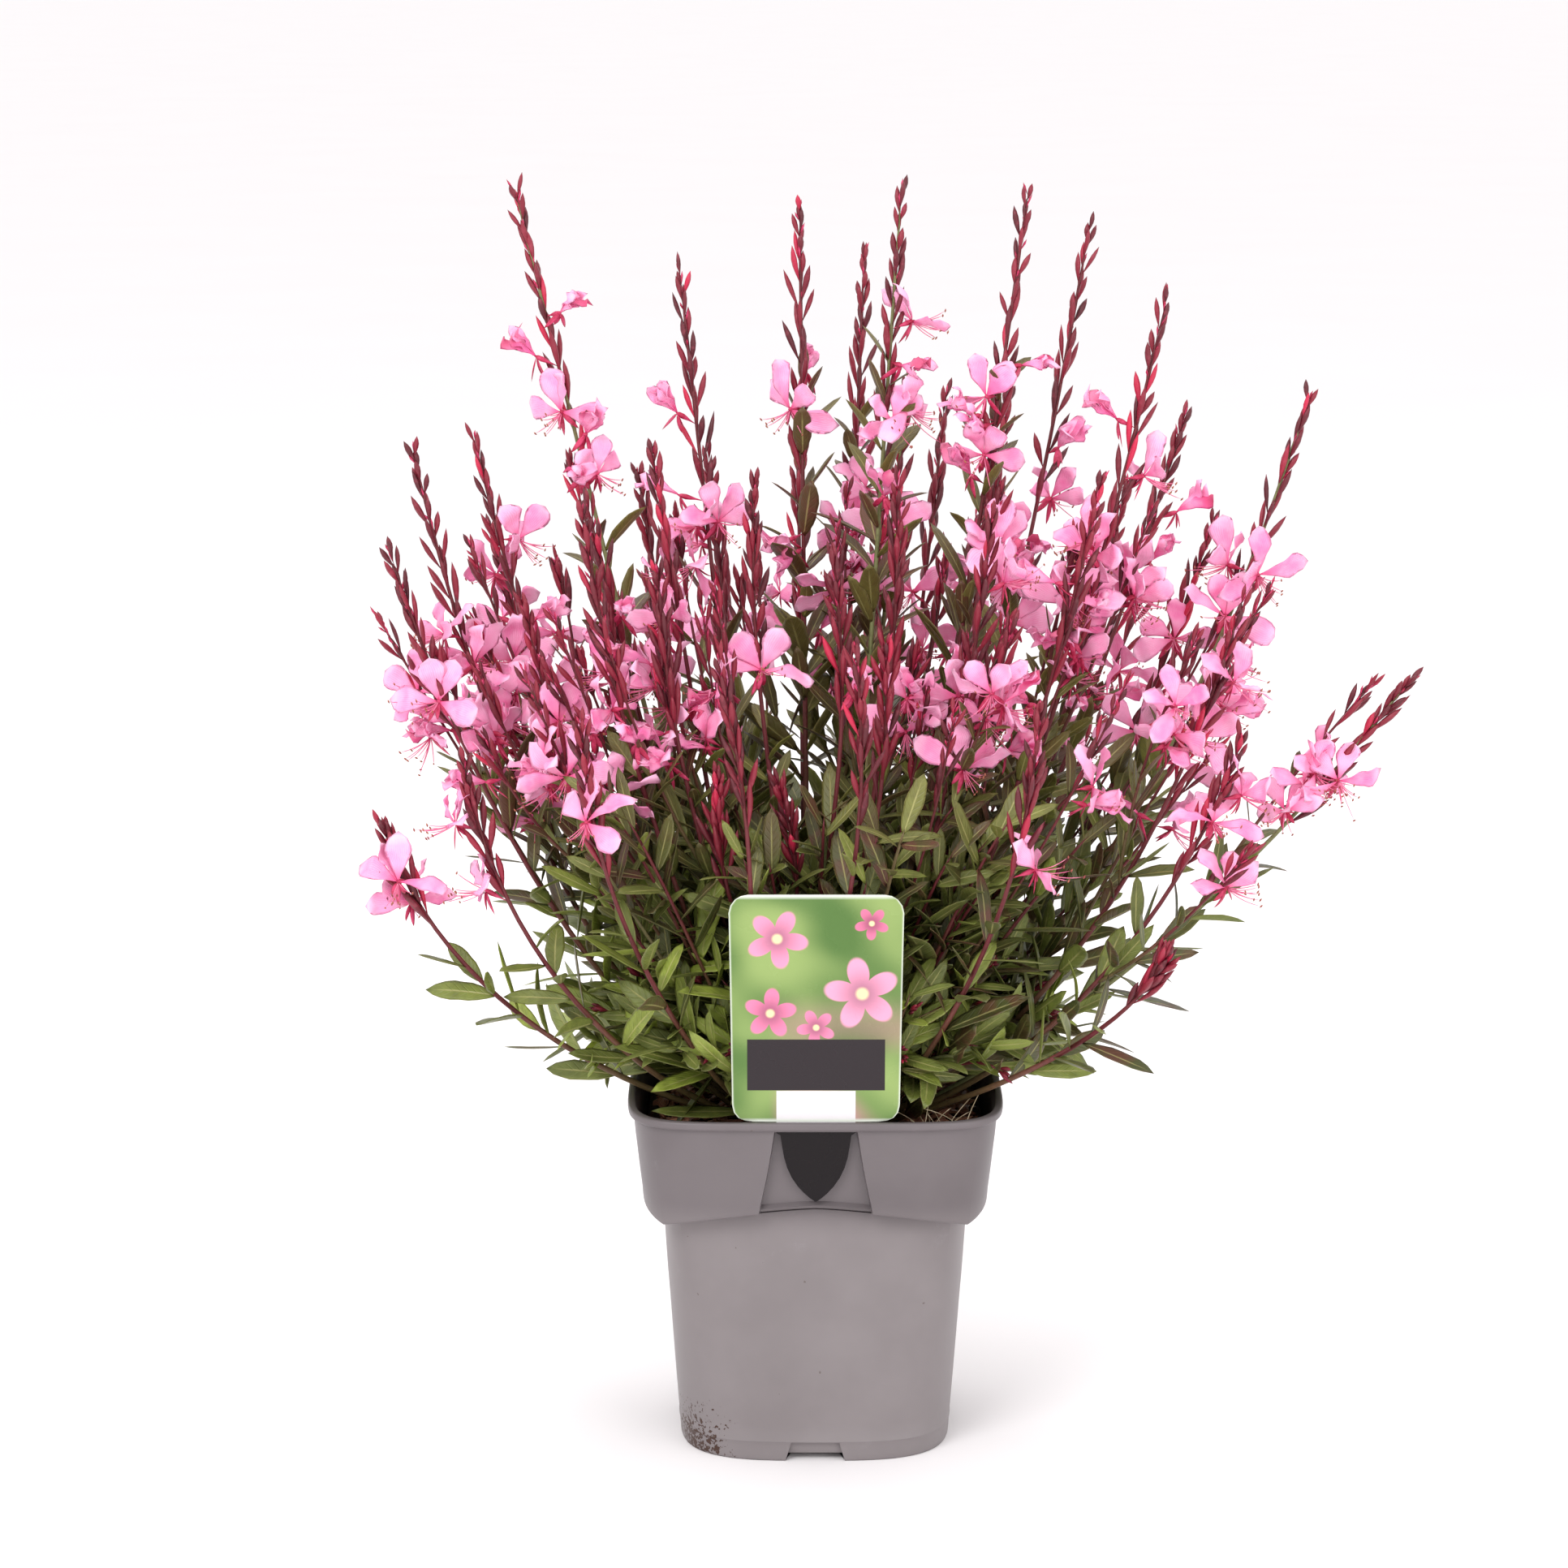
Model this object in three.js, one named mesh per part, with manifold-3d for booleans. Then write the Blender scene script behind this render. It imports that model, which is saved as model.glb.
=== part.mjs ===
// A potted gaura in flower: a square nursery pot with a deep stepped collar, filled with compost under a layer
// of bark, a woody crown, forty-eight leafy stems that end in spikes of buds above open blooms, and the plastic
// picture label that hangs in a slot of the rim. Millimetres, +Z up, front towards -Y. The origin is the middle
// of the flat pad under the pot, on the surface that the pot stands on.
import * as THREE from "three";
import { mergeVertices } from "three/addons/utils/BufferGeometryUtils.js";
import Module from "manifold-3d";

const wasm = await Module();
wasm.setup();

// Pot: half widths are measured from the axis to the middle of a side.
const POT_HEIGHT = 163;
const POT_QUARTER = [0, 14, 26, 35, 41, 45, 49, 55, 64, 76];
const BASE_HALF = 61.5;
const SHOULDER_HALF = 68.8;
const SHOULDER_HEIGHT = 112;
const COLLAR_LOW_HALF = 77.8;
const COLLAR_TOP_HALF = 81.8;
const LIP_HALF = 84;
const LIP_LOW = 159;
const WALL = 1.8;
const FLOOR = 3;
const COLLAR_ARCH = 9;
const ARCH_POWER = 1.4;
const BASE_SQUARENESS = 3.3;
const RIM_SQUARENESS = 6;
const GAP = 0.3;

// Foot: one water notch in each side, with a drain hole in its ceiling.
const NOTCH = { low: 26, high: 21, height: 8.8, reach: 30 };
const DRAIN = { radius: 4, distance: 44, sides: 10 };

// Label recess in the front of the collar, and the slot in the rim above it.
const RECESS = { topHalf: 18, lowHalf: 24.5, ceiling: 158.5, depth: 4.4 };
const WALL_LEAN = Math.atan2(COLLAR_TOP_HALF - COLLAR_LOW_HALF, LIP_LOW - SHOULDER_HEIGHT);
const SLOT = { width: 36.4, thickness: 1.6 };

const LABEL = {
  lowHalf: 36.6, topHalf: 38, height: 104, corner: 8.5, thickness: 0.8,
  tabHalf: 17.4, tabDrop: 5.2, shieldHalf: 15.6, shieldDrop: 37.5,
};
const LABEL_FOOT = new THREE.Vector3(0, -80.6, POT_HEIGHT);

// Planting.
const COMPOST_TOP = 134;
const BARK_TOP = 147;
const CROWN = { foot: 118, waist: 43, top: 152 };
const CHIPS = 22;

// Stems.
const STEM_RADIUS = 1.7;
const STEM_STEPS = 5;
const STEM_FOOT = 144;
const RIM_CLEAR = 192;
const SOCKET_CLEARANCE = 0.7;
const GOLDEN_ANGLE = THREE.MathUtils.degToRad(137.5);
const LEAF = { slimness: 0.25, thickness: 1.2 };
const STEM_LEAVES = { count: 4, zone: [0.08, 0.62], lengthLow: 50, lengthHigh: 34 };
const BUDS_PER_STEM = 4;
const BUD_ZONE = [0.83, 1];
const TURN_TRIES = [0, 35, -35, 70, -70, 110, -110];
const PETAL = { length: 19, claw: 3.5, thickness: 1.2, throat: 1.5, widest: 0.68, halfAngle: 23, twist: 1 };
const PETAL_ANGLES = [-80, -27, 27, 80];
const THROAT_ANGLES = [-120, 0, 120];

// Each stem: azimuth in degrees from +X, horizontal reach and height of its tip, sweep from 0, upright, to 1,
// low and outwards first, and its blooms, each with its share of the way up and the bearing that it faces.
const STEMS = [
  [-4, 264, 348, 0.45, [[0.82, -70], [0.75, -125]]],
  [5, 221, 469, 0.6, [[0.82, 175], [0.76, -100], [0.71, 10]]],
  [-7, 154, 517, 0.5, [[0.88, -180], [0.83, 5], [0.76, -150]]],
  [12, 96, 560, 0.45, [[0.85, -20], [0.8, -170], [0.74, -145]]],
  [28, 194, 453, 0.5, [[0.88, 5], [0.82, -30], [0.65, 0]]],
  [17, 190, 408, 0.6, [[0.84, -85], [0.72, -95]]],
  [34, 152, 542, 0.5, [[0.74, 50], [0.69, 130], [0.61, 85]]],
  [40, 50, 560, 0.3, [[0.87, 10], [0.79, -20]]],
  [42, 200, 416, 0.6, [[0.86, 20], [0.64, -10]]],
  [54, 157, 463, 0.5, [[0.7, 75], [0.57, 135]]],
  [68, 168, 455, 0.5, [[0.62, 130]]],
  [78, 111, 527, 0.4, [[0.8, 90], [0.53, 145]]],
  [96, 66, 551, 0.4, [[0.84, 80], [0.57, 45]]],
  [80, 196, 392, 0.6, [[0.72, 135]]],
  [93, 152, 436, 0.5, [[0.8, 165]]],
  [104, 190, 384, 0.7, [[0.83, 85], [0.7, 150]]],
  [112, 132, 430, 0.5, [[0.88, 175]]],
  [122, 196, 376, 0.7, [[0.82, 75]]],
  [136, 113, 428, 0.5, [[0.79, -110]]],
  [150, 70, 524, 0.4, [[0.85, -150], [0.77, 180]]],
  [157, 147, 559, 0.3, [[0.88, -50], [0.83, 180], [0.72, -95]]],
  [143, 190, 396, 0.6, [[0.87, 155], [0.68, 50]]],
  [169, 156, 450, 0.6, [[0.89, -20], [0.84, 140]]],
  [-179, 178, 448, 0.7, [[0.8, -160], [0.56, -85]]],
  [-168, 190, 408, 0.6, [[0.8, -115]]],
  [-158, 202, 293, 0.95, [[0.88, -100], [0.8, 130]]],
  [-147, 180, 326, 0.9, [[0.88, 180], [0.74, -170]]],
  [-144, 124, 430, 0.5, []],
  [176, 102, 424, 0.4, [[0.85, -70]]],
  [-162, 134, 385, 0.6, [[0.83, -75]]],
  [-128, 44, 438, 0.3, [[0.73, -80]]],
  [-131, 152, 345, 0.8, [[0.85, -110]]],
  [-138, 92, 402, 0.5, []],
  [-120, 85, 313, 0.4, []],
  [-110, 122, 372, 0.6, []],
  [-84, 70, 410, 0.4, [[0.8, -60]]],
  [-103, 72, 310, 0.3, []],
  [-82, 118, 378, 0.6, []],
  [-54, 60, 440, 0.4, []],
  [-69, 83, 373, 0.4, []],
  [-52, 152, 352, 0.8, [[0.74, 0]]],
  [-38, 96, 428, 0.5, [[0.9, 0], [0.66, -60]]],
  [-26, 203, 334, 0.7, [[0.9, 0], [0.85, -75]]],
  [-38, 188, 246, 1, []],
  [-21, 132, 440, 0.5, [[0.88, 180], [0.72, -135]]],
  [-15, 192, 388, 0.7, [[0.89, 0], [0.69, 180]]],
  [62, 92, 470, 0.4, []],
  [-160, 76, 450, 0.4, [[0.68, -155]]],
];

// Low leafy shoots of the crown, which carry the mound out over the rim, from the highest and shortest to the
// lowest and longest. The mound is less deep than wide.
const SHOOTS = {
  count: 24, radius: 1.4, steps: 3, foot: 32, footHeight: 149, sweep: 0.85,
  heightFirst: 232, heightLast: 178, reachFirst: 96, reachLast: 124, frontDepth: 0.76, backDepth: 0.95,
};
const SHOOT_TURNS = [0, 5, -5, 10, -10, 15, -15];
const SHOOT_LEAVES = { count: 4, zone: [0.4, 1], lengthLow: 48, lengthHigh: 36 };

// Large leaves that grow from the crown itself: azimuth, length, width and rise in degrees.
const CROWN_LEAVES = [
  [-45, 62, 15, 4], [-128, 60, 14, 6], [-152, 62, 15, 10], [-22, 60, 13, 14], [5, 58, 13, 18], [38, 60, 14, 8],
  [70, 58, 13, 12], [100, 62, 14, 8], [132, 58, 13, 14], [165, 62, 14, 8], [-172, 54, 12, 20], [-64, 52, 12, 22],
];

// A shape may change by this much where points that it doesn't need are dropped.
const TOLERANCE = 0.02;

const COLOURS = {
  pot: 0x8b878b, compost: 0x2b1c16, bark: 0x5b2f20, crown: 0x4c5a2a, stem: 0x6b7a38, label: 0x9cb878,
};

// A seeded row of draws from 0 to 1, the same at each run.
function seededDraws(seed) {
  let state = Math.imul(seed + 1, 2654435761) >>> 0;
  return () => {
    state = (Math.imul(state, 1664525) + 1013904223) >>> 0;
    return state / 4294967296;
  };
}

function toSolid(geometry) {
  const bare = geometry.clone();
  bare.deleteAttribute("normal");
  bare.deleteAttribute("uv");
  const merged = mergeVertices(bare, 1e-4);
  return new wasm.Manifold(new wasm.Mesh({
    numProp: 3,
    vertProperties: new Float32Array(merged.attributes.position.array),
    triVerts: new Uint32Array(merged.index.array),
  }));
}

// The solid's largest body as a geometry: a scrap that hangs loose is dropped, and so are the points that change
// its surface by less than the tolerance.
function toGeometry(solid) {
  const whole = solid.decompose().sort((a, b) => b.volume() - a.volume())[0];
  const mesh = whole.simplify(TOLERANCE).getMesh();
  return new THREE.BufferGeometry()
    .setAttribute("position", new THREE.BufferAttribute(new Float32Array(mesh.vertProperties), 3))
    .setIndex(new THREE.BufferAttribute(new Uint32Array(mesh.triVerts), 1));
}

const mix = (a, b, t) => a + (b - a) * t;

const squareness = (height) => mix(BASE_SQUARENESS, RIM_SQUARENESS, height / POT_HEIGHT);

// The share of the way from a side's corner to its middle, bent so that the collar's lower edge is an arch.
function archShare(x, y) {
  const side = Math.min(Math.abs(x), Math.abs(y)) / Math.max(Math.abs(x), Math.abs(y), 1e-9);
  return 1 - Math.pow(side, ARCH_POWER);
}

// A lathe whose round sections are pressed to rounded squares, |x|^n + |y|^n = r^n, with n growing with height.
// Profile points are [half width, height, arched], and arched ones rise towards the middle of each side. The
// columns stand closer together at the corners.
function squareLathe(profile) {
  const points = profile.map(([half, height]) => new THREE.Vector2(half, height));
  const columns = 4 * POT_QUARTER.length;
  const lathe = new THREE.LatheGeometry(points, columns);
  const position = lathe.attributes.position;
  for (let i = 0; i < position.count; i++) {
    const [half, height, arched] = profile[i % profile.length];
    const column = Math.floor(i / profile.length) % columns;
    const quarter = Math.floor(column / POT_QUARTER.length);
    const angle = THREE.MathUtils.degToRad(90 * quarter + POT_QUARTER[column % POT_QUARTER.length]);
    const [cos, sin] = [Math.cos(angle), Math.sin(angle)];
    const power = squareness(height);
    const radius = half / (Math.abs(cos) ** power + Math.abs(sin) ** power) ** (1 / power);
    const lift = arched ? COLLAR_ARCH * archShare(cos, sin) : 0;
    position.setXYZ(i, radius * cos, radius * sin, height + lift);
  }
  return toSolid(lathe);
}

// A prism of a front outline, given as [x, z] pairs, from one depth y to another.
function frontPrism(outline, yNear, yFar) {
  const shape = new THREE.Shape(outline.map(([x, z]) => new THREE.Vector2(x, z)));
  const prism = new THREE.ExtrudeGeometry(shape, { depth: yFar - yNear, bevelEnabled: false });
  return toSolid(prism.rotateX(Math.PI / 2).translate(0, yFar, 0));
}

// The water notches of the foot, grown by a wall thickness when they are kept out of the inside.
function footNotches(grown) {
  const low = NOTCH.low / 2 + grown;
  const high = NOTCH.high / 2 + grown;
  const outline = [[-low, -1], [low, -1], [high, NOTCH.height + grown], [-high, NOTCH.height + grown]];
  const notch = frontPrism(outline, -LIP_HALF, -NOTCH.reach + grown);
  return wasm.Manifold.union([0, 90, 180, 270].map((turn) => notch.rotate([0, 0, turn])));
}

// The label recess: a trapezoid cut into the collar's front, its back parallel to the leaning wall.
function labelRecess(grown, ceiling) {
  const outline = [
    [-RECESS.lowHalf - grown, SHOULDER_HEIGHT - 12], [RECESS.lowHalf + grown, SHOULDER_HEIGHT - 12],
    [RECESS.topHalf + grown, ceiling], [-RECESS.topHalf - grown, ceiling],
  ];
  const back = COLLAR_TOP_HALF - RECESS.depth - grown;
  const behind = new THREE.BoxGeometry(200, 60, 200).translate(0, 30, 0)
    .rotateX(WALL_LEAN).translate(0, -back, RECESS.ceiling);
  return frontPrism(outline, -LIP_HALF - 10, -50).subtract(toSolid(behind));
}

function drainHoles(radius) {
  const drill = new THREE.CylinderGeometry(radius, radius, 3 * FLOOR, DRAIN.sides).rotateX(Math.PI / 2);
  const hole = toSolid(drill.translate(DRAIN.distance, 0, NOTCH.height + FLOOR / 2));
  return wasm.Manifold.union([0, 90, 180, 270].map((turn) => hole.rotate([0, 0, turn])));
}

// The inside of the pot, drawn in from the walls by a gap, and open upwards past the rim.
function inside(gap) {
  const top = POT_HEIGHT + 6;
  return squareLathe([
    [0, FLOOR + gap], [BASE_HALF - WALL - gap, FLOOR + gap],
    [SHOULDER_HALF - WALL - gap, SHOULDER_HEIGHT + 2, true],
    [COLLAR_LOW_HALF - WALL - gap, SHOULDER_HEIGHT + 2 + gap, true],
    [LIP_HALF - 3.6 - gap, top], [0, top],
  ]).subtract(footNotches(WALL + gap)).subtract(labelRecess(WALL + gap, POT_HEIGHT + 9));
}

const below = (solid, height) => solid.trimByPlane([0, 0, -1], -height);
const above = (solid, height) => solid.trimByPlane([0, 0, 1], height);

function pot() {
  const outer = squareLathe([
    [0, 0], [BASE_HALF, 0], [SHOULDER_HALF, SHOULDER_HEIGHT, true], [COLLAR_LOW_HALF - 1.3, SHOULDER_HEIGHT, true],
    [COLLAR_LOW_HALF, SHOULDER_HEIGHT + 2.5, true], [COLLAR_TOP_HALF, LIP_LOW], [LIP_HALF, LIP_LOW + 0.6],
    [LIP_HALF, POT_HEIGHT], [0, POT_HEIGHT],
  ]);
  const slot = new THREE.BoxGeometry(SLOT.width, SLOT.thickness, 30)
    .rotateX(WALL_LEAN).translate(...LABEL_FOOT);
  return outer
    .subtract(inside(0))
    .subtract(footNotches(0))
    .subtract(labelRecess(0, RECESS.ceiling))
    .subtract(drainHoles(DRAIN.radius))
    .subtract(toSolid(slot));
}

function crownBody(gap) {
  const profile = [
    [0, CROWN.foot - gap], [CROWN.waist - 9 + gap, CROWN.foot - gap], [CROWN.waist + gap, CROWN.foot + 14],
    [CROWN.waist + gap, CROWN.top - 8], [CROWN.waist - 12 + gap, CROWN.top + gap], [0, CROWN.top + 3 + gap],
  ].map(([radius, height]) => new THREE.Vector2(radius, height));
  return toSolid(new THREE.LatheGeometry(profile, 14).rotateX(Math.PI / 2));
}

function compost() {
  return below(inside(GAP), COMPOST_TOP).subtract(crownBody(GAP));
}

// Shards of bark lie at random on a thin slab: each is a tetrahedron pressed flat.
function barkMulch() {
  const room = above(inside(GAP), COMPOST_TOP + GAP);
  const draw = seededDraws(500);
  const shards = [];
  for (let i = 0; i < CHIPS; i++) {
    const spot = mix(CROWN.waist + 6, 67, Math.sqrt(draw()));
    const turn = i * GOLDEN_ANGLE;
    const long = mix(7, 13, draw());
    const shard = new THREE.TetrahedronGeometry(1)
      .scale(long, long * mix(0.4, 0.7, draw()), mix(2.5, 4.5, draw()))
      .rotateX(mix(-0.5, 0.5, draw())).rotateZ(draw() * 2 * Math.PI)
      .translate(spot * Math.cos(turn), spot * Math.sin(turn), BARK_TOP + mix(-1, 1, draw()));
    shards.push(toSolid(shard));
  }
  return below(room, BARK_TOP).add(wasm.Manifold.union(shards).intersect(room)).subtract(crownBody(GAP));
}

// The label is one flat plate: a picture panel with round corners above the rim, a narrow tab through the slot,
// and below it a shield that tapers to a point.
function label() {
  const { lowHalf, topHalf, height, corner, tabHalf, tabDrop, shieldHalf, shieldDrop } = LABEL;
  const outline = new THREE.Shape();
  outline.moveTo(tabHalf, GAP);
  outline.lineTo(lowHalf - corner, GAP);
  outline.quadraticCurveTo(lowHalf, GAP, lowHalf, corner + GAP);
  outline.lineTo(topHalf, height - corner);
  outline.quadraticCurveTo(topHalf, height, topHalf - corner, height);
  outline.lineTo(-topHalf + corner, height);
  outline.quadraticCurveTo(-topHalf, height, -topHalf, height - corner);
  outline.lineTo(-lowHalf, corner + GAP);
  outline.quadraticCurveTo(-lowHalf, GAP, -lowHalf + corner, GAP);
  outline.lineTo(-tabHalf, GAP);
  outline.lineTo(-tabHalf, -tabDrop);
  outline.lineTo(-shieldHalf, -tabDrop - 1);
  outline.quadraticCurveTo(-shieldHalf + 1, -shieldDrop * 0.68, 0, -shieldDrop);
  outline.quadraticCurveTo(shieldHalf - 1, -shieldDrop * 0.68, shieldHalf, -tabDrop - 1);
  outline.lineTo(tabHalf, -tabDrop);
  const plate = new THREE.ExtrudeGeometry(outline, {
    depth: LABEL.thickness, bevelEnabled: false, curveSegments: 5,
  });
  return toSolid(plate.translate(0, 0, -LABEL.thickness / 2).rotateX(Math.PI / 2 + WALL_LEAN).translate(...LABEL_FOOT));
}

// A unit frame for a direction: [along, side, face], with the face turned as near as it can be to a wish.
function frameOf(along, wish) {
  const side = new THREE.Vector3().crossVectors(wish, along).normalize();
  return [along, side, new THREE.Vector3().crossVectors(along, side).normalize()];
}

function inFrame(geometry, root, [along, side, face]) {
  return geometry.applyMatrix4(new THREE.Matrix4().makeBasis(along, side, face).setPosition(root));
}

// A pointed blade from an octahedron: root, tip, two edges and a low ridge on each face, bowed by its arch.
function blade(root, frame, length, width, thickness, widest, arch) {
  const geometry = new THREE.OctahedronGeometry(1);
  const position = geometry.attributes.position;
  for (let i = 0; i < position.count; i++) {
    const [x, y, z] = [position.getX(i), position.getY(i), position.getZ(i)];
    const along = length * (Math.abs(x) < 0.5 ? widest : (x + 1) / 2);
    const bow = Math.abs(x) < 0.5 ? arch * length : 0;
    position.setXYZ(i, along, (y * width) / 2, (z * thickness) / 2 + bow);
  }
  return toSolid(inFrame(geometry, root, frame));
}

// A spindle with three sides, thickest at a share of its length.
function spindle(root, frame, length, radius, thickest) {
  const profile = [new THREE.Vector2(0, 0), new THREE.Vector2(radius, thickest * length), new THREE.Vector2(0, length)];
  return toSolid(inFrame(new THREE.LatheGeometry(profile, 3).rotateZ(-Math.PI / 2), root, frame));
}

// A stem's line: in the upright plane of its azimuth it rises from the crown to its tip on a quadratic curve,
// and a slow sideways wave keeps it from being flat.
class StemLine extends THREE.Curve {
  constructor(azimuth, reach, height, sweep, wave, foot = 5 + 0.13 * reach, footHeight = STEM_FOOT) {
    super();
    this.out = new THREE.Vector3(Math.cos(azimuth), Math.sin(azimuth), 0);
    this.across = new THREE.Vector3(-Math.sin(azimuth), Math.cos(azimuth), 0);
    this.radii = [foot, mix(foot, reach, 0.4 + 0.42 * sweep), reach];
    this.heights = [footHeight, Math.max(mix(footHeight, height, 0.56 - 0.42 * sweep), RIM_CLEAR), height];
    this.wave = wave;
  }

  getPoint(t, target = new THREE.Vector3()) {
    const weights = [(1 - t) ** 2, 2 * t * (1 - t), t * t];
    const blendOf = (values) => values.reduce((sum, value, i) => sum + value * weights[i], 0);
    const sideways = this.wave * Math.sin(2 * Math.PI * t) * t;
    target.copy(this.out).multiplyScalar(blendOf(this.radii)).addScaledVector(this.across, sideways);
    target.z = blendOf(this.heights);
    return target;
  }

  // The stem's own frame at t: its tangent, and two directions across it.
  frameAt(t) {
    return frameOf(this.getTangent(t), this.across);
  }
}

// A direction that leaves the stem at t, turned round it by an angle and leaning away from it by another.
function leaving(line, t, turn, lean) {
  const [along, side, face] = line.frameAt(t);
  const outward = side.clone().multiplyScalar(Math.cos(turn)).addScaledVector(face, Math.sin(turn));
  return along.clone().multiplyScalar(Math.cos(lean)).addScaledVector(outward, Math.sin(lean)).normalize();
}

function triangularTube(line, radius, steps = STEM_STEPS) {
  const section = new THREE.Shape([0, 1, 2].map((corner) => {
    const angle = (corner * 2 * Math.PI) / 3;
    return new THREE.Vector2(radius * Math.cos(angle), radius * Math.sin(angle));
  }));
  return toSolid(new THREE.ExtrudeGeometry(section, { steps, extrudePath: line, bevelEnabled: false }));
}

// Draws are taken from a seed of each stem's own.
const lines = STEMS.map(([azimuth, reach, height, sweep], i) => {
  const wave = mix(-7, 7, seededDraws(i)());
  return new StemLine(THREE.MathUtils.degToRad(azimuth), reach, height, sweep, wave);
});

// A bloom as one body. A slim stalk with three sides widens from the stem to the throat, and the petals are a
// fan-shaped star about the throat, where each petal has a left edge, a tip and a right edge, and the notches
// between petals lie close to the throat. A shut bloom has the same star, folded forwards.
function bloomSolid(line, share, bearing, draw) {
  const [roll, size, open] = [mix(-0.3, 0.3, draw()), mix(0.85, 1.1, draw()), draw() > 0.3];
  const facing = THREE.MathUtils.degToRad(bearing);
  const out = new THREE.Vector3(Math.cos(facing), Math.sin(facing), mix(0, 0.6, draw())).normalize();
  const foot = line.getPoint(share);
  const centre = foot.clone().addScaledVector(out, mix(8, 12, draw()));
  const [along, side, face] = frameOf(out, new THREE.Vector3(0, 0, 1));
  const at = (degrees, radius, height) => {
    const angle = THREE.MathUtils.degToRad(degrees) + roll;
    return centre.clone()
      .addScaledVector(face, Math.cos(angle) * radius)
      .addScaledVector(side, Math.sin(angle) * radius)
      .addScaledVector(along, height);
  };
  const spread = open ? 1 : 0.55;
  const [flat, forward] = open ? [0.98, 0.2] : [0.45, 0.89];
  const reach = PETAL.length * size;
  const outline = [[180, PETAL.claw, 0]];
  PETAL_ANGLES.forEach((degrees, k) => {
    const [middle, half] = [degrees * spread, PETAL.halfAngle * spread];
    const twist = k % 2 ? PETAL.twist : -PETAL.twist;
    outline.push([middle - half - 2, PETAL.claw, 0]);
    outline.push([middle - half, reach * PETAL.widest, twist]);
    outline.push([middle, reach, -twist]);
    outline.push([middle + half, reach * PETAL.widest, twist]);
  });
  const rim = outline.map(([degrees, radius, height]) => at(degrees, radius * flat, radius * forward + height));
  const throat = THROAT_ANGLES.map((degrees) => at(degrees, PETAL.throat, -PETAL.thickness));
  const count = rim.length;
  const [front, stalk] = [count, count + 4];
  const nearest = (i) => {
    const turns = THROAT_ANGLES.map((degrees) => Math.cos(THREE.MathUtils.degToRad(degrees - outline[i][0])));
    return count + 1 + turns.indexOf(Math.max(...turns));
  };
  const index = [];
  rim.forEach((_, i) => {
    const next = (i + 1) % count;
    index.push(next, i, front, i, next, nearest(i));
    if (nearest(i) !== nearest(next)) index.push(nearest(i), next, nearest(next), nearest(i), nearest(next), stalk);
  });
  const points = [...rim, at(0, 0, PETAL.thickness), ...throat, foot];
  return toSolid(new THREE.BufferGeometry().setFromPoints(points).setIndex(index));
}

function budAt(line, i, k, draw) {
  const share = k / (BUDS_PER_STEM - 1);
  const t = mix(BUD_ZONE[0], BUD_ZONE[1], share * 0.96);
  const turn = k * GOLDEN_ANGLE + i;
  const toTip = 1 - share;
  const direction = leaving(line, t, turn, mix(0.16, 0.42, toTip * draw()));
  return spindle(line.getPoint(t), frameOf(direction, line.out), mix(11, 19, Math.sqrt(toTip)), 1.7, 0.55);
}

// Leaf k of the stem or shoot i, by its plan of leaves.
function leafAt(line, plan, i, k, turned) {
  const draw = seededDraws(plan.count * i + k);
  const share = (k + 0.5 * draw()) / plan.count;
  const t = mix(plan.zone[0], plan.zone[1], share);
  const turn = k * GOLDEN_ANGLE + 2 * i + THREE.MathUtils.degToRad(turned);
  const length = mix(plan.lengthLow, plan.lengthHigh, share) * mix(0.85, 1.1, draw());
  const direction = leaving(line, t, turn, mix(0.65, 1.1, draw()));
  const face = frameOf(direction, line.getTangent(t));
  return blade(line.getPoint(t), face, length, length * LEAF.slimness, LEAF.thickness, 0.45, 0.08);
}

function boxesMeet(a, b) {
  const [p, q] = [a.boundingBox(), b.boundingBox()];
  return [0, 1, 2].every((axis) => p.min[axis] < q.max[axis] && q.min[axis] < p.max[axis]);
}

const meets = (a, b) => boxesMeet(a, b) && !a.intersect(b).isEmpty();

// Stems or shoots as lists of pieces, where a piece is kept only if it is clear of every fixed solid and of the
// pieces of all the others.
class Thicket {
  constructor(fixed) {
    this.fixed = fixed;
    this.plants = [];
  }

  grow(i, piece) {
    const blocked = this.fixed.some((solid) => meets(piece, solid))
      || this.plants.some((pieces, j) => j !== i && pieces.some((solid) => meets(piece, solid)));
    if (!blocked) (this.plants[i] ??= []).push(piece);
    return !blocked;
  }

  addLeaves(line, plan, i) {
    for (let k = 0; k < plan.count; k++) {
      TURN_TRIES.some((turned) => this.grow(i, leafAt(line, plan, i, k, turned)));
    }
  }
}

function stemSolids(fixed) {
  const thicket = new Thicket(fixed);
  thicket.plants = lines.map((line) => [triangularTube(line, STEM_RADIUS)]);
  STEMS.forEach(([, , , , blooms], i) => blooms.forEach(([share, bearing], k) => {
    TURN_TRIES.some((turn) => {
      return thicket.grow(i, bloomSolid(lines[i], share, bearing + turn, seededDraws(100 * i + k)));
    });
  }));
  lines.forEach((line, i) => {
    const draw = seededDraws(2000 + i);
    for (let k = 0; k < BUDS_PER_STEM; k++) thicket.grow(i, budAt(line, i, k, draw));
  });
  lines.forEach((line, i) => thicket.addLeaves(line, STEM_LEAVES, i));
  return thicket.plants.map((pieces) => wasm.Manifold.union(pieces));
}

// Holes for the stems: each stem's own tube, a little wider and lower.
function stemSockets() {
  return wasm.Manifold.union(lines.map((line) => {
    return triangularTube(line, STEM_RADIUS + SOCKET_CLEARANCE).translate([0, 0, -GAP]);
  }));
}

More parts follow.
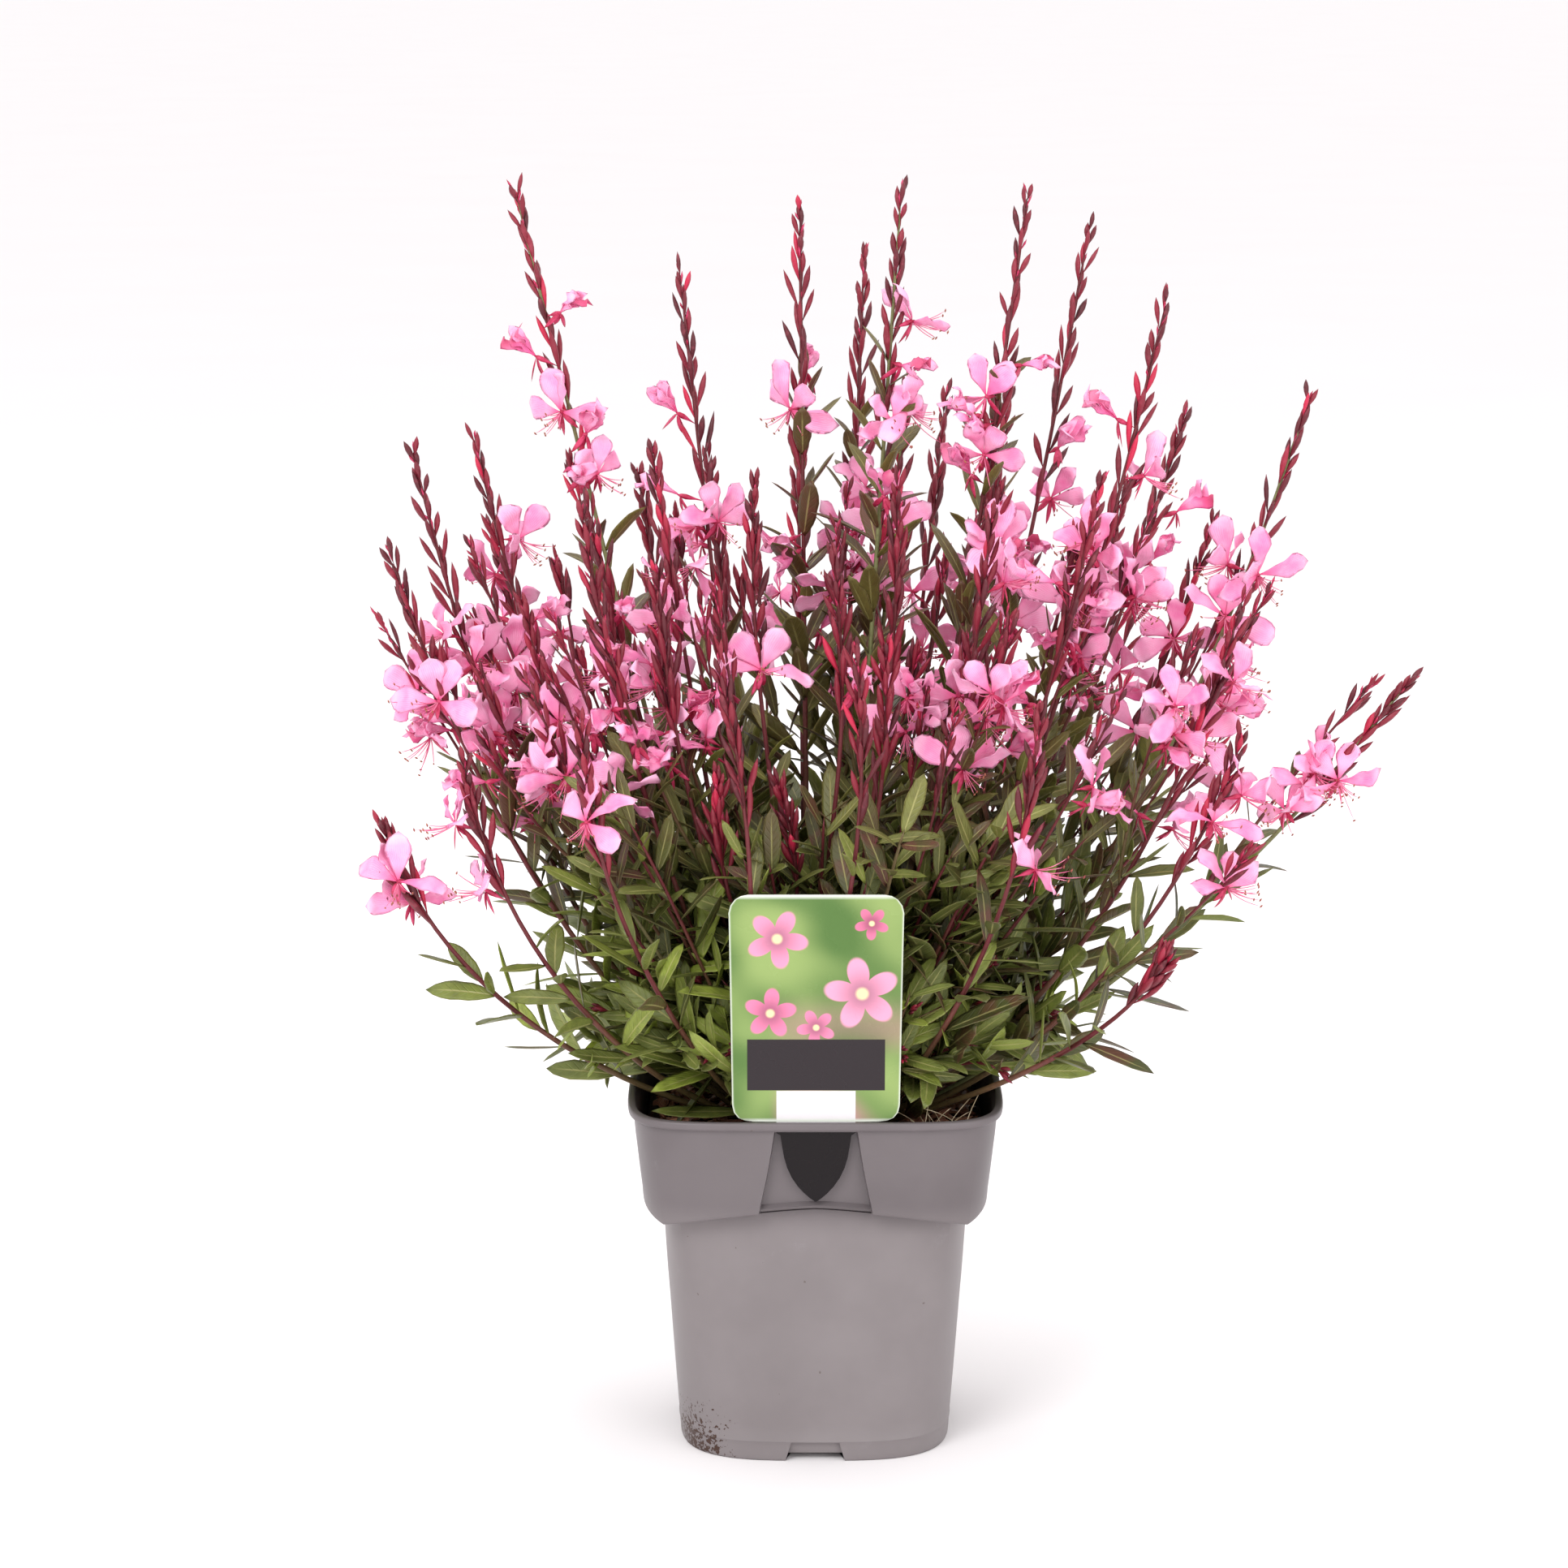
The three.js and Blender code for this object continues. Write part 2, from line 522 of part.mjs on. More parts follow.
// The crown's low shoots, round it by the golden angle, each turned a little where its way is barred, or left out.
function leafyShoots(obstacles) {
  const thicket = new Thicket(obstacles);
  for (let i = 0; i < SHOOTS.count; i++) {
    const share = i / (SHOOTS.count - 1);
    SHOOT_TURNS.some((turn) => {
      const azimuth = i * GOLDEN_ANGLE + THREE.MathUtils.degToRad(turn);
      const depth = Math.sin(azimuth) < 0 ? SHOOTS.frontDepth : SHOOTS.backDepth;
      const reach = mix(SHOOTS.reachFirst, SHOOTS.reachLast, share)
        * Math.hypot(Math.cos(azimuth), depth * Math.sin(azimuth));
      const height = mix(SHOOTS.heightFirst, SHOOTS.heightLast, share);
      const line = new StemLine(azimuth, reach, height, SHOOTS.sweep, 0, SHOOTS.foot, SHOOTS.footHeight);
      const stands = thicket.grow(i, triangularTube(line, SHOOTS.radius, SHOOTS.steps));
      if (stands) thicket.addLeaves(line, SHOOT_LEAVES, i);
      return stands;
    });
  }
  return thicket.plants.flat();
}

// Large leaves round the crown, each turned a little where a stem or the label is in its way, or left out.
function crownLeaves(obstacles) {
  const leaves = [];
  CROWN_LEAVES.forEach(([azimuth, length, width, rise]) => [0, 6, -6, 12, -12].some((turn) => {
    const [a, r] = [azimuth + turn, rise].map(THREE.MathUtils.degToRad);
    const along = new THREE.Vector3(Math.cos(a) * Math.cos(r), Math.sin(a) * Math.cos(r), Math.sin(r));
    const root = new THREE.Vector3(Math.cos(a) * (CROWN.waist - 8), Math.sin(a) * (CROWN.waist - 8), CROWN.top - 4);
    const leaf = blade(root, frameOf(along, new THREE.Vector3(0, 0, 1)), length, width, 1.3, 0.5, 0.2);
    const blocked = [...obstacles, ...leaves].some((solid) => meets(leaf, solid));
    if (!blocked) leaves.push(leaf);
    return !blocked;
  }));
  return leaves;
}

const group = new THREE.Group();

function addNode(name, solid, colour, roughness) {
  const material = new THREE.MeshStandardMaterial({ color: colour, roughness, metalness: 0 });
  const mesh = new THREE.Mesh(toGeometry(solid), material);
  mesh.name = name;
  group.add(mesh);
}

const sockets = stemSockets();
const potSolid = pot();
const labelSolid = label();
const barkSolid = barkMulch().subtract(sockets);
const fixed = [potSolid, labelSolid, barkSolid];
const lowLeaves = crownLeaves([...fixed, sockets]);
const shoots = leafyShoots([...fixed, sockets, ...lowLeaves]);
const crownSolid = wasm.Manifold.union([crownBody(0).subtract(sockets), ...lowLeaves, ...shoots]);

addNode("pot", potSolid, COLOURS.pot, 0.5);
addNode("label", labelSolid, COLOURS.label, 0.3);
addNode("compost", compost(), COLOURS.compost, 0.95);
addNode("bark_mulch", barkSolid, COLOURS.bark, 0.9);
addNode("crown", crownSolid, COLOURS.crown, 0.7);
stemSolids([...fixed, crownSolid]).forEach((solid, i) => {
  addNode(`stem_${String(i + 1).padStart(2, "0")}`, solid, COLOURS.stem, 0.6);
});

export default group;
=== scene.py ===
"""Potted gaura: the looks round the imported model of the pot, the planting, the forty-eight stems and the label.

Shapes are worked out in millimetres and turned to metres when a mesh is made. The stems follow the same curves as
in the model's source. A shape that repeats is a flattened tube from a root to a tip, made for all its places at
once, and its points carry three numbers for the materials: along, 0 at the root and 1 at the tip, across, from -1
to 1 between its edges, and tone, one draw for each leaf, petal or bud.
"""

import bpy
import numpy as np
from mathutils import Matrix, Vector


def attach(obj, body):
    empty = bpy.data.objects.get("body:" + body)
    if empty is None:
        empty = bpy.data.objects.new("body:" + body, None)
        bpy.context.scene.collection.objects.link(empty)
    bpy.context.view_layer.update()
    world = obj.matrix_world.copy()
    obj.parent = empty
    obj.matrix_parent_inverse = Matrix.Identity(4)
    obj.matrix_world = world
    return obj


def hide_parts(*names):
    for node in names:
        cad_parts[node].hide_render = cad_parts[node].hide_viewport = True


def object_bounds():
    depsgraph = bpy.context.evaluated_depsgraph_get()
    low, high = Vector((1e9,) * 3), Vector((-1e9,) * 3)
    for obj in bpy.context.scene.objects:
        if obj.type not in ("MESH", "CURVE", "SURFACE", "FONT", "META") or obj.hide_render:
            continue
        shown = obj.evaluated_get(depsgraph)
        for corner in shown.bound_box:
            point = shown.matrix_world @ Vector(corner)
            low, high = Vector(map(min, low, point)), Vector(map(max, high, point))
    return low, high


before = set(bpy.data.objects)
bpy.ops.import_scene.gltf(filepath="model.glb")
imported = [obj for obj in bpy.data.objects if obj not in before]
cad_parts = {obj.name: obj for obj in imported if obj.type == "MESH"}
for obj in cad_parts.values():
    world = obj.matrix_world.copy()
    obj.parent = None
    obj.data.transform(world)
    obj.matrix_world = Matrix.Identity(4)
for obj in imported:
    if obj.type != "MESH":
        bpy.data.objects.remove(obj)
cad_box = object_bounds()

MM = 0.001
BOX_LOW, BOX_HIGH = (np.array(corner) / MM for corner in cad_box)
UP = np.array([0.0, 0.0, 1.0])
GOLDEN_ANGLE = np.radians(137.5)
rng = np.random.default_rng(11)

# Pot.
POT_HEIGHT = 163.0
SHOULDER_HEIGHT = 112.0
COLLAR_LOW_HALF = 77.8
COLLAR_TOP_HALF = 81.8
LIP_HALF = 84.0
LIP_LOW = 159.0
FLOOR = 3.0
COLLAR_ARCH = 9.0
ARCH_POWER = 1.4
BASE_SQUARENESS = 3.3
RIM_SQUARENESS = 6.0
NOTCH_HEIGHT = 8.8
NOTCH_REACH = 30.0
RECESS_DEPTH = 4.4
RECESS_CEILING = 158.5
WALL_LEAN = np.arctan2(COLLAR_TOP_HALF - COLLAR_LOW_HALF, LIP_LOW - SHOULDER_HEIGHT)
SLOT_Y = -80.6
LABEL_TOP = 268.0
LABEL_HALF = 38.0

# Planting.
POT_INSIDE = 75.0
BARK_TOP = 147.0
BED_LOW = 134.6
BED_HALF = 76.2
BARE_LEFT, BARE_RIGHT = (-82, -42), (56, 80)
SIGHT_SLOPE = 0.275
CROWN_LOW = 128.0
CROWN_RADIUS = 43.0
CROWN_TOP = 153.0
STEM_FOOT = 144.0
RIM_CLEAR = 192.0
BOX_SPARE = 5.0
SHORTEST_BRANCH = 70.0
TALLEST_BRANCH = 440.0
LOWEST_BRANCH_TIP = 370.0
LOWEST_BLOOM = 324.0
STALK = 8.0
BLOOM_REACH = 24.0
BLOOM_SPARE = 4.0
TALL_STEMS = (445, 445, 500)

# Azimuth in degrees from +X, horizontal reach and height of the tip, sweep from 0, upright, to 1, low and
# outwards first, and the blooms, each with its share of the way up and the bearing that it faces.
STEMS = [
    (-4, 264, 348, 0.45, [(0.82, -70), (0.75, -125)]),
    (5, 221, 469, 0.6, [(0.82, 175), (0.76, -100), (0.71, 10)]),
    (-7, 154, 517, 0.5, [(0.88, -180), (0.83, 5), (0.76, -150)]),
    (12, 96, 560, 0.45, [(0.85, -20), (0.8, -170), (0.74, -145)]),
    (28, 194, 453, 0.5, [(0.88, 5), (0.82, -30), (0.65, 0)]),
    (17, 190, 408, 0.6, [(0.84, -85), (0.72, -95)]),
    (34, 152, 542, 0.5, [(0.74, 50), (0.69, 130), (0.61, 85)]),
    (40, 50, 560, 0.3, [(0.87, 10), (0.79, -20)]),
    (42, 200, 416, 0.6, [(0.86, 20), (0.64, -10)]),
    (54, 157, 463, 0.5, [(0.7, 75), (0.57, 135)]),
    (68, 168, 455, 0.5, [(0.62, 130)]),
    (78, 111, 527, 0.4, [(0.8, 90), (0.53, 145)]),
    (96, 66, 551, 0.4, [(0.84, 80), (0.57, 45)]),
    (80, 196, 392, 0.6, [(0.72, 135)]),
    (93, 152, 436, 0.5, [(0.8, 165)]),
    (104, 190, 384, 0.7, [(0.83, 85), (0.7, 150)]),
    (112, 132, 430, 0.5, [(0.88, 175)]),
    (122, 196, 376, 0.7, [(0.82, 75)]),
    (136, 113, 428, 0.5, [(0.79, -110)]),
    (150, 70, 524, 0.4, [(0.85, -150), (0.77, 180)]),
    (157, 147, 559, 0.3, [(0.88, -50), (0.83, 180), (0.72, -95)]),
    (143, 190, 396, 0.6, [(0.87, 155), (0.68, 50)]),
    (169, 156, 450, 0.6, [(0.89, -20), (0.84, 140)]),
    (-179, 178, 448, 0.7, [(0.8, -160), (0.56, -85)]),
    (-168, 190, 408, 0.6, [(0.8, -115)]),
    (-158, 202, 293, 0.95, [(0.88, -100), (0.8, 130)]),
    (-147, 180, 326, 0.9, [(0.88, 180), (0.74, -170)]),
    (-144, 124, 430, 0.5, []),
    (176, 102, 424, 0.4, [(0.85, -70)]),
    (-162, 134, 385, 0.6, [(0.83, -75)]),
    (-128, 44, 438, 0.3, [(0.73, -80)]),
    (-131, 152, 345, 0.8, [(0.85, -110)]),
    (-138, 92, 402, 0.5, []),
    (-120, 85, 313, 0.4, []),
    (-110, 122, 372, 0.6, []),
    (-84, 70, 410, 0.4, [(0.8, -60)]),
    (-103, 72, 310, 0.3, []),
    (-82, 118, 378, 0.6, []),
    (-54, 60, 440, 0.4, []),
    (-69, 83, 373, 0.4, []),
    (-52, 152, 352, 0.8, [(0.74, 0)]),
    (-38, 96, 428, 0.5, [(0.9, 0), (0.66, -60)]),
    (-26, 203, 334, 0.7, [(0.9, 0), (0.85, -75)]),
    (-38, 188, 246, 1, []),
    (-21, 132, 440, 0.5, [(0.88, 180), (0.72, -135)]),
    (-15, 192, 388, 0.7, [(0.89, 0), (0.69, 180)]),
    (62, 92, 470, 0.4, []),
    (-160, 76, 450, 0.4, [(0.68, -155)]),
]
GREEN_STEMS = [0, 1, 7, 20, 46]
LEAFY_STEMS = [3, 7, 11, 12, 46]


# Arithmetic on arrays of directions and places.

def mix(a, b, t):
    return a + (b - a) * t


def unit(v):
    return v / np.linalg.norm(v, axis=-1, keepdims=True)


def frames(along, wish):
    """Side and face directions across each along, with face as near as it can be to the wish."""
    side = unit(np.cross(wish, along))
    return side, np.cross(along, side)


def turned(first, second, angle):
    """Pairs of directions at right angles, each pair turned in its own plane by an angle."""
    cosine, sine = np.cos(angle)[..., None], np.sin(angle)[..., None]
    return first * cosine + second * sine, second * cosine - first * sine


def circle(columns):
    """Angles of the columns of a ring."""
    return np.arange(columns) * 2 * np.pi / columns


def squared(x, y):
    """The half width of the soft square through a place: (|x|^6 + |y|^6)^(1/6)."""
    return (np.abs(x) ** 6 + np.abs(y) ** 6) ** (1 / 6)


def heading(bearing, lift):
    """Unit directions from compass bearings in radians and the rise over a run of one."""
    return unit(np.stack([np.cos(bearing), np.sin(bearing), lift * np.ones_like(bearing)], axis=-1))


def seeded_draws(seed):
    """The same row of draws from 0 to 1 as in the model's source, from a linear congruence on 32 bits."""
    state = (seed + 1) * 2654435761 & 0xFFFFFFFF
    while True:
        state = (state * 1664525 + 1013904223) & 0xFFFFFFFF
        yield state / 4294967296


# Meshes.

def add_piece(name, shape, finish, slot="stems", *nodes, flat=False):
    """A piece from its points in millimetres, its faces and its numbers by point, riding on the one body."""
    points, faces, values = shape
    mesh = bpy.data.meshes.new(name)
    mesh.from_pydata((np.asarray(points) * MM).tolist(), [], faces)
    for key, numbers in values.items():
        attribute = mesh.attributes.new(key, "FLOAT", "POINT")
        attribute.data.foreach_set("value", np.asarray(numbers, dtype=np.float32).ravel())
    mesh.materials.append(finish)
    if not flat:
        mesh.shade_smooth()
    mesh.update()
    piece = bpy.data.objects.new(name, mesh)
    bpy.context.collection.objects.link(piece)
    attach(piece, "root")
    if nodes:
        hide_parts(*nodes)
    return piece


def loft_faces(copies, rows, columns):
    """Faces of closed tubes: a pole, rows rings of columns points and a second pole, for every copy."""
    row, column = np.mgrid[0:rows - 1, 0:columns]
    after = (column + 1) % columns
    quads = 1 + np.stack([
        row * columns + column, row * columns + after,
        (row + 1) * columns + after, (row + 1) * columns + column,
    ], axis=-1).reshape(-1, 4)
    ring = np.arange(columns)
    beside = (ring + 1) % columns
    last = 1 + (rows - 1) * columns
    bottom = np.stack([np.zeros_like(ring), 1 + beside, 1 + ring], axis=-1)
    top = np.stack([np.full_like(ring, last + columns), last + ring, last + beside], axis=-1)
    shift = (np.arange(copies) * (rows * columns + 2))[:, None, None]
    return [*(quads + shift).reshape(-1, 4).tolist(),
            *(np.concatenate([bottom, top]) + shift).reshape(-1, 3).tolist()]


def closed(rings, low, high):
    """A closed shape from rings of points and the heights of the poles below and above them."""
    points = np.concatenate([[[0, 0, low]], rings.reshape(-1, 3), [[0, 0, high]]])
    return points, loft_faces(1, *rings.shape[:2]), {}


class Blades:
    """Flattened tubes: each ring is an ellipse, half width wide along side and half width thick along face, and
    its edges stand out of its middle by fold times their distance from it. Arrays are copies x rows."""

    def __init__(self, middle, side, face, wide, thick, columns, fold=0.0):
        angle = circle(columns)
        across, depth = np.cos(angle), np.sin(angle)
        wide, thick = wide[..., None, None], thick[..., None, None]
        fold = np.asarray(fold)[..., None, None] * np.ones_like(wide)
        rings = (middle[..., None, :] + across[:, None] * wide * side[..., None, :]
                 + (depth[:, None] * thick + np.abs(across)[:, None] * wide * fold) * face[..., None, :])
        self.copies, self.rows, self.columns = rings.shape[:3]
        inner = rings[:, 1:-1].reshape(self.copies, -1, 3)
        self.points = np.concatenate([middle[:, :1], inner, middle[:, -1:]], axis=1)
        self.along = self.spread(np.linspace(0, 1, self.rows), np.ones(columns))
        self.across = self.spread(np.ones(self.rows), across)

    def spread(self, by_row, by_column):
        inner = (by_row[1:-1, None] * by_column).ravel()
        one = np.concatenate([[by_row[0]], inner, [by_row[-1]]])
        return np.broadcast_to(one, (self.copies, one.size))

    def keep(self, mask):
        self.points, self.along, self.across = self.points[mask], self.along[mask], self.across[mask]
        self.copies = int(mask.sum())

    def shape(self, low=0.0, high=1.0, tone=None):
        """Points, faces and numbers. Tone is drawn from low to high, unless it is given."""
        tone = rng.uniform(low, high, self.copies) if tone is None else tone
        tones = np.broadcast_to(tone[:, None], self.along.shape)
        faces = loft_faces(self.copies, self.rows - 2, self.columns)
        return self.points.reshape(-1, 3), faces, {"along": self.along, "across": self.across, "tone": tones}


def curved(root, along, face, length, rows, arch):
    """Middle lines of blades: straight along, and bent towards the face by arch times the length squared."""
    v = np.linspace(0, 1, rows)[None, :, None]
    length = length[:, None, None]
    arch = np.asarray(arch).reshape(-1, 1, 1)
    return root[:, None] + along[:, None] * length * v + face[:, None] * arch * length * v ** 2


def clear(points):
    """True for the copies that stay out of the pot's wall, the bark and the label, and in the model's box."""
    x, y, z = np.moveaxis(points, -1, 0)
    square = squared(x, y)
    in_wall = (z < POT_HEIGHT + 2.0) & (square > POT_INSIDE) & (square < LIP_HALF + 1.5)
    under = (z < BARK_TOP + 1.5) & (square <= POT_INSIDE)
    label_y = SLOT_Y - (z - POT_HEIGHT) * np.tan(WALL_LEAN)
    at_label = (np.abs(x) < LABEL_HALF + 1.5) & (y < label_y + 2.5) & (z < LABEL_TOP + 4)
    outside = ((points < BOX_LOW - BOX_SPARE) | (points > BOX_HIGH + BOX_SPARE)).any(axis=-1)
    return ~(in_wall | under | at_label | outside).any(axis=1)


def off_bark(points):
    """True for the copies that leave the bark in sight in the two front corners, and for a few of the others. The
    gap is 22 mm high above the line of sight over the front of the rim."""
    x, y, z = np.moveaxis(points, -1, 0)
    over = z - POT_HEIGHT + SIGHT_SLOPE * (y + LIP_HALF)
    bare = [(x > low) & (x < high) for low, high in (BARE_LEFT, BARE_RIGHT)]
    gap = (bare[0] | bare[1]) & (over > -6) & (over < 22)
    return ~gap.any(axis=1) | (rng.uniform(0, 1, len(points)) < 0.06)


# The curves of the stems and shoots, as rows of points.

SAMPLES = 41
SHARES = np.linspace(0, 1, SAMPLES)


def quadratic(start, bend, tip):
    """Points of curves with three control points: (1-t)^2 start + 2t(1-t) bend + t^2 tip."""
    t = SHARES[None, :, None]
    return (1 - t) ** 2 * start[:, None] + 2 * t * (1 - t) * bend[:, None] + t ** 2 * tip[:, None]


class Shoots:
    """Curves as rows of sampled points, with their tangents and a steady direction across each."""

    def __init__(self, points):
        self.points = points
        self.tangents = unit(np.gradient(points, axis=1))
        flat = (points[:, -1] - points[:, 0]) * [1, 1, 0]
        self.across = unit(np.cross(UP, flat + [1e-3, 0, 0]))
        self.count = len(points)

    def only(self, chosen):
        return Shoots(self.points[chosen])

    def leaving(self, index, t, turn, lean):
        """Places on the curves, directions that lean away from them by lean, turned round them by turn, and the
        curves' own directions there."""
        k = np.clip(t, 0, 1) * (SAMPLES - 1)
        low = np.minimum(k.astype(int), SAMPLES - 2)
        part = (k - low)[..., None]
        place = mix(self.points[index, low], self.points[index, low + 1], part)
        tangent = unit(mix(self.tangents[index, low], self.tangents[index, low + 1], part))
        side, face = frames(tangent, self.across[index])
        outward = turned(side, face, turn)[0]
        return place, unit(turned(tangent, outward, lean)[0]), tangent

    def tubes(self, low, high, step, columns):
        """Round tubes along every step-th sample of the curves, from radius low to radius high."""
        points, tangents = self.points[:, ::step], self.tangents[:, ::step]
        side, face = frames(tangents, self.across[:, None])
        radius = np.broadcast_to(mix(low, high, SHARES[::step]), points.shape[:2])
        return Blades(points, side, face, radius, radius, columns)


def numbered(shoots, each):
    """For each thing on every shoot, the shoot's number and its own."""
    return np.repeat(np.arange(shoots.count), each), np.tile(np.arange(each), shoots.count)


def stem_curves():
    """The forty-eight stems: quadratic curves, each upright in its azimuth, with a slow sideways wave."""
    azimuth, reach, height, sweep = (np.array([row[k] for row in STEMS], dtype=float) for k in range(4))
    out = heading(np.radians(azimuth), 0.0)
    foot = 5 + 0.13 * reach
    bend_radius = mix(foot, reach, 0.4 + 0.42 * sweep)
    bend_height = np.maximum(mix(STEM_FOOT, height, 0.56 - 0.42 * sweep), RIM_CLEAR)
    start = out * foot[:, None] + UP * STEM_FOOT
    bend = out * bend_radius[:, None] + UP * bend_height[:, None]
    tip = out * reach[:, None] + UP * height[:, None]
    wave = np.array([mix(-7, 7, next(seeded_draws(i))) for i in range(len(STEMS))])
    sway = wave[:, None] * np.sin(2 * np.pi * SHARES) * SHARES
    return Shoots(quadratic(start, bend, tip) + np.cross(UP, out)[:, None] * sway[..., None])


def side_shoots(stems, each=3):
    """Branches of the stems: each leaves its stem part of the way up, swings out and rises beside it. Those that
    would end among the mound's leaves, or low on the right, are left out."""
    index, _ = numbered(stems, each)
    count = len(index)
    turn = rng.uniform(0, 2 * np.pi, count)
    start = rng.uniform(0.22, 0.62, count)
    place, outward, tangent = stems.leaving(index, start, turn, np.full(count, np.pi / 2))
    left = np.linalg.norm(stems.points[index, -1] - place, axis=1)
    room = (TALLEST_BRANCH - rng.uniform(0, 120, count) - place[:, 2]) / (0.93 * tangent[:, 2] + 0.07)
    length = np.minimum(left * rng.uniform(0.5, 0.95, count), room)
    swing = outward * rng.uniform(12, 34, count)[:, None]
    tip = place + (tangent * 0.93 + UP * 0.07) * length[:, None] + swing
    bend = place + tangent * length[:, None] * 0.4 + swing * 0.9
    long = length > SHORTEST_BRANCH
    shoots = Shoots(quadratic(place[long], bend[long], tip[long]))
    x, _, z = shoots.points[:, -1].T
    lofty = (z > LOWEST_BRANCH_TIP - 0.5 * np.abs(x)) & ((x < 200) | (z > 330))
    return shoots.only(clear(shoots.points) & lofty)


def leafy_shoots(share, reach, height):
    """Shoots from the crown, round it by the golden angle: each share, from 0 at its middle to 1 at its edge, has
    a reach and a height of its tip. The mound is less deep than wide, as in the model's source."""
    count = len(share)
    turn = np.arange(count) * GOLDEN_ANGLE + rng.uniform(-0.2, 0.2, count)
    out = heading(turn, 0.0)
    reach = reach * np.hypot(out[:, 0], np.where(out[:, 1] < 0, 0.76, 0.95) * out[:, 1])
    foot = out * mix(8, 32, share)[:, None] + UP * 149.0
    bend = out * mix(20, mix(32, reach, 0.76), share)[:, None] + UP * np.maximum(height - 30, RIM_CLEAR)[:, None]
    shoots = Shoots(quadratic(foot, bend, out * reach[:, None] + UP * height[:, None]))
    return shoots.only(clear(shoots.points) & off_bark(shoots.points))


def low_shoots(count=160):
    """The mound: high and short inside, low and long outside, where they pass over the rim."""
    share = (np.arange(count) + 0.5) / count
    reach = mix(48, 120, share ** 0.6) * rng.uniform(0.82, 1.02, count)
    return leafy_shoots(share, reach, mix(276, 178, share ** 0.7) + rng.uniform(-9, 9, count))


def dome_shoots(count=96):
    """The shoots above the mound, out to a reach that grows with height: 98 + 0.38 (height - 178)."""
    height = rng.uniform(214, 312, count)
    share = rng.uniform(0.5, 1.0, count)
    return leafy_shoots(share, (98 + 0.38 * (height - 178)) * share, height)


# Materials: a socket that takes part in Python arithmetic, on values only.

class Socket:
    def __init__(self, finish, socket):
        self.finish, self.socket = finish, socket

    def math(self, operation, *others):
        return self.finish.node("ShaderNodeMath", {"operation": operation}, dict(enumerate((self, *others))))

    def __add__(self, other):
        return self.math("ADD", other)

    def __sub__(self, other):
        return self.math("SUBTRACT", other)

    def __mul__(self, other):
        return self.math("MULTIPLY", other)

    def __truediv__(self, other):
        return self.math("DIVIDE", other)

    def absolute(self):
        return self.math("ABSOLUTE")

    def ramp(self, low, high, start=0.0, end=1.0):
        """Start up to low, end from high on, and smooth in between."""
        settings = {"interpolation_type": "SMOOTHSTEP"}
        return self.finish.node("ShaderNodeMapRange", settings, dict(enumerate((self, low, high, start, end))))

    def band(self, half, soft):
        """1 where the value is within half of nought, falling to 0 over soft."""
        return self.absolute().ramp(half + soft, half)


class Finish:
    """A material under construction, with one Principled shader and its constants set by name."""

    def __init__(self, name, **constants):
        self.material = bpy.data.materials.new(name)
        self.material.use_nodes = True
        self.shader = self.material.node_tree.nodes["Principled BSDF"]
        for key, value in constants.items():
            self.shader.inputs[key.replace("_", " ")].default_value = value

    def node(self, kind, settings, inputs, output=0):
        """Any node: its settings first, then its inputs, each a number, a colour or a link."""
        node = self.material.node_tree.nodes.new(kind)
        for key, value in settings.items():
            setattr(node, key, value)
        for key, value in inputs.items():
            if isinstance(value, Socket):
                self.material.node_tree.links.new(value.socket, node.inputs[key])
            else:
                node.inputs[key].default_value = value
        return Socket(self, node.outputs[output])

    def attribute(self, name):
        return self.node("ShaderNodeAttribute", {"attribute_name": name}, {}, "Fac")

    def place(self):
        return self.node("ShaderNodeTexCoord", {}, {}, "Object")

    def parts(self, vector):
        split = self.node("ShaderNodeSeparateXYZ", {}, {0: vector}).socket.node
        return [Socket(self, split.outputs[axis]) for axis in "XYZ"]

    def noise(self, scale, detail=3.0, roughness=0.5):
        inputs = {"Vector": self.place(), "Scale": scale, "Detail": detail, "Roughness": roughness}
        return self.node("ShaderNodeTexNoise", {}, inputs)

    def blend(self, amount, first, second):
        """A mix of two colours, each a link or display values of 0 to 255."""
        first, second = (c if isinstance(c, Socket) else (*linear(c), 1.0) for c in (first, second))
        return self.node("ShaderNodeMix", {"data_type": "RGBA"}, {0: amount, 6: first, 7: second}, 2)

    def set(self, name, value):
        self.material.node_tree.links.new(value.socket, self.shader.inputs[name])

    def bump(self, height, strength, distance):
        inputs = {"Strength": strength, "Distance": distance, "Height": height}
        self.set("Normal", self.node("ShaderNodeBump", {}, inputs))


def linear(display):
    """A linear colour from display values: c / 12.92 below 0.04, and ((c + 0.055) / 1.055)^2.4."""
    c = np.array(display) / 255
    return tuple(np.where(c < 0.04045, c / 12.92, ((c + 0.055) / 1.055) ** 2.4).tolist())


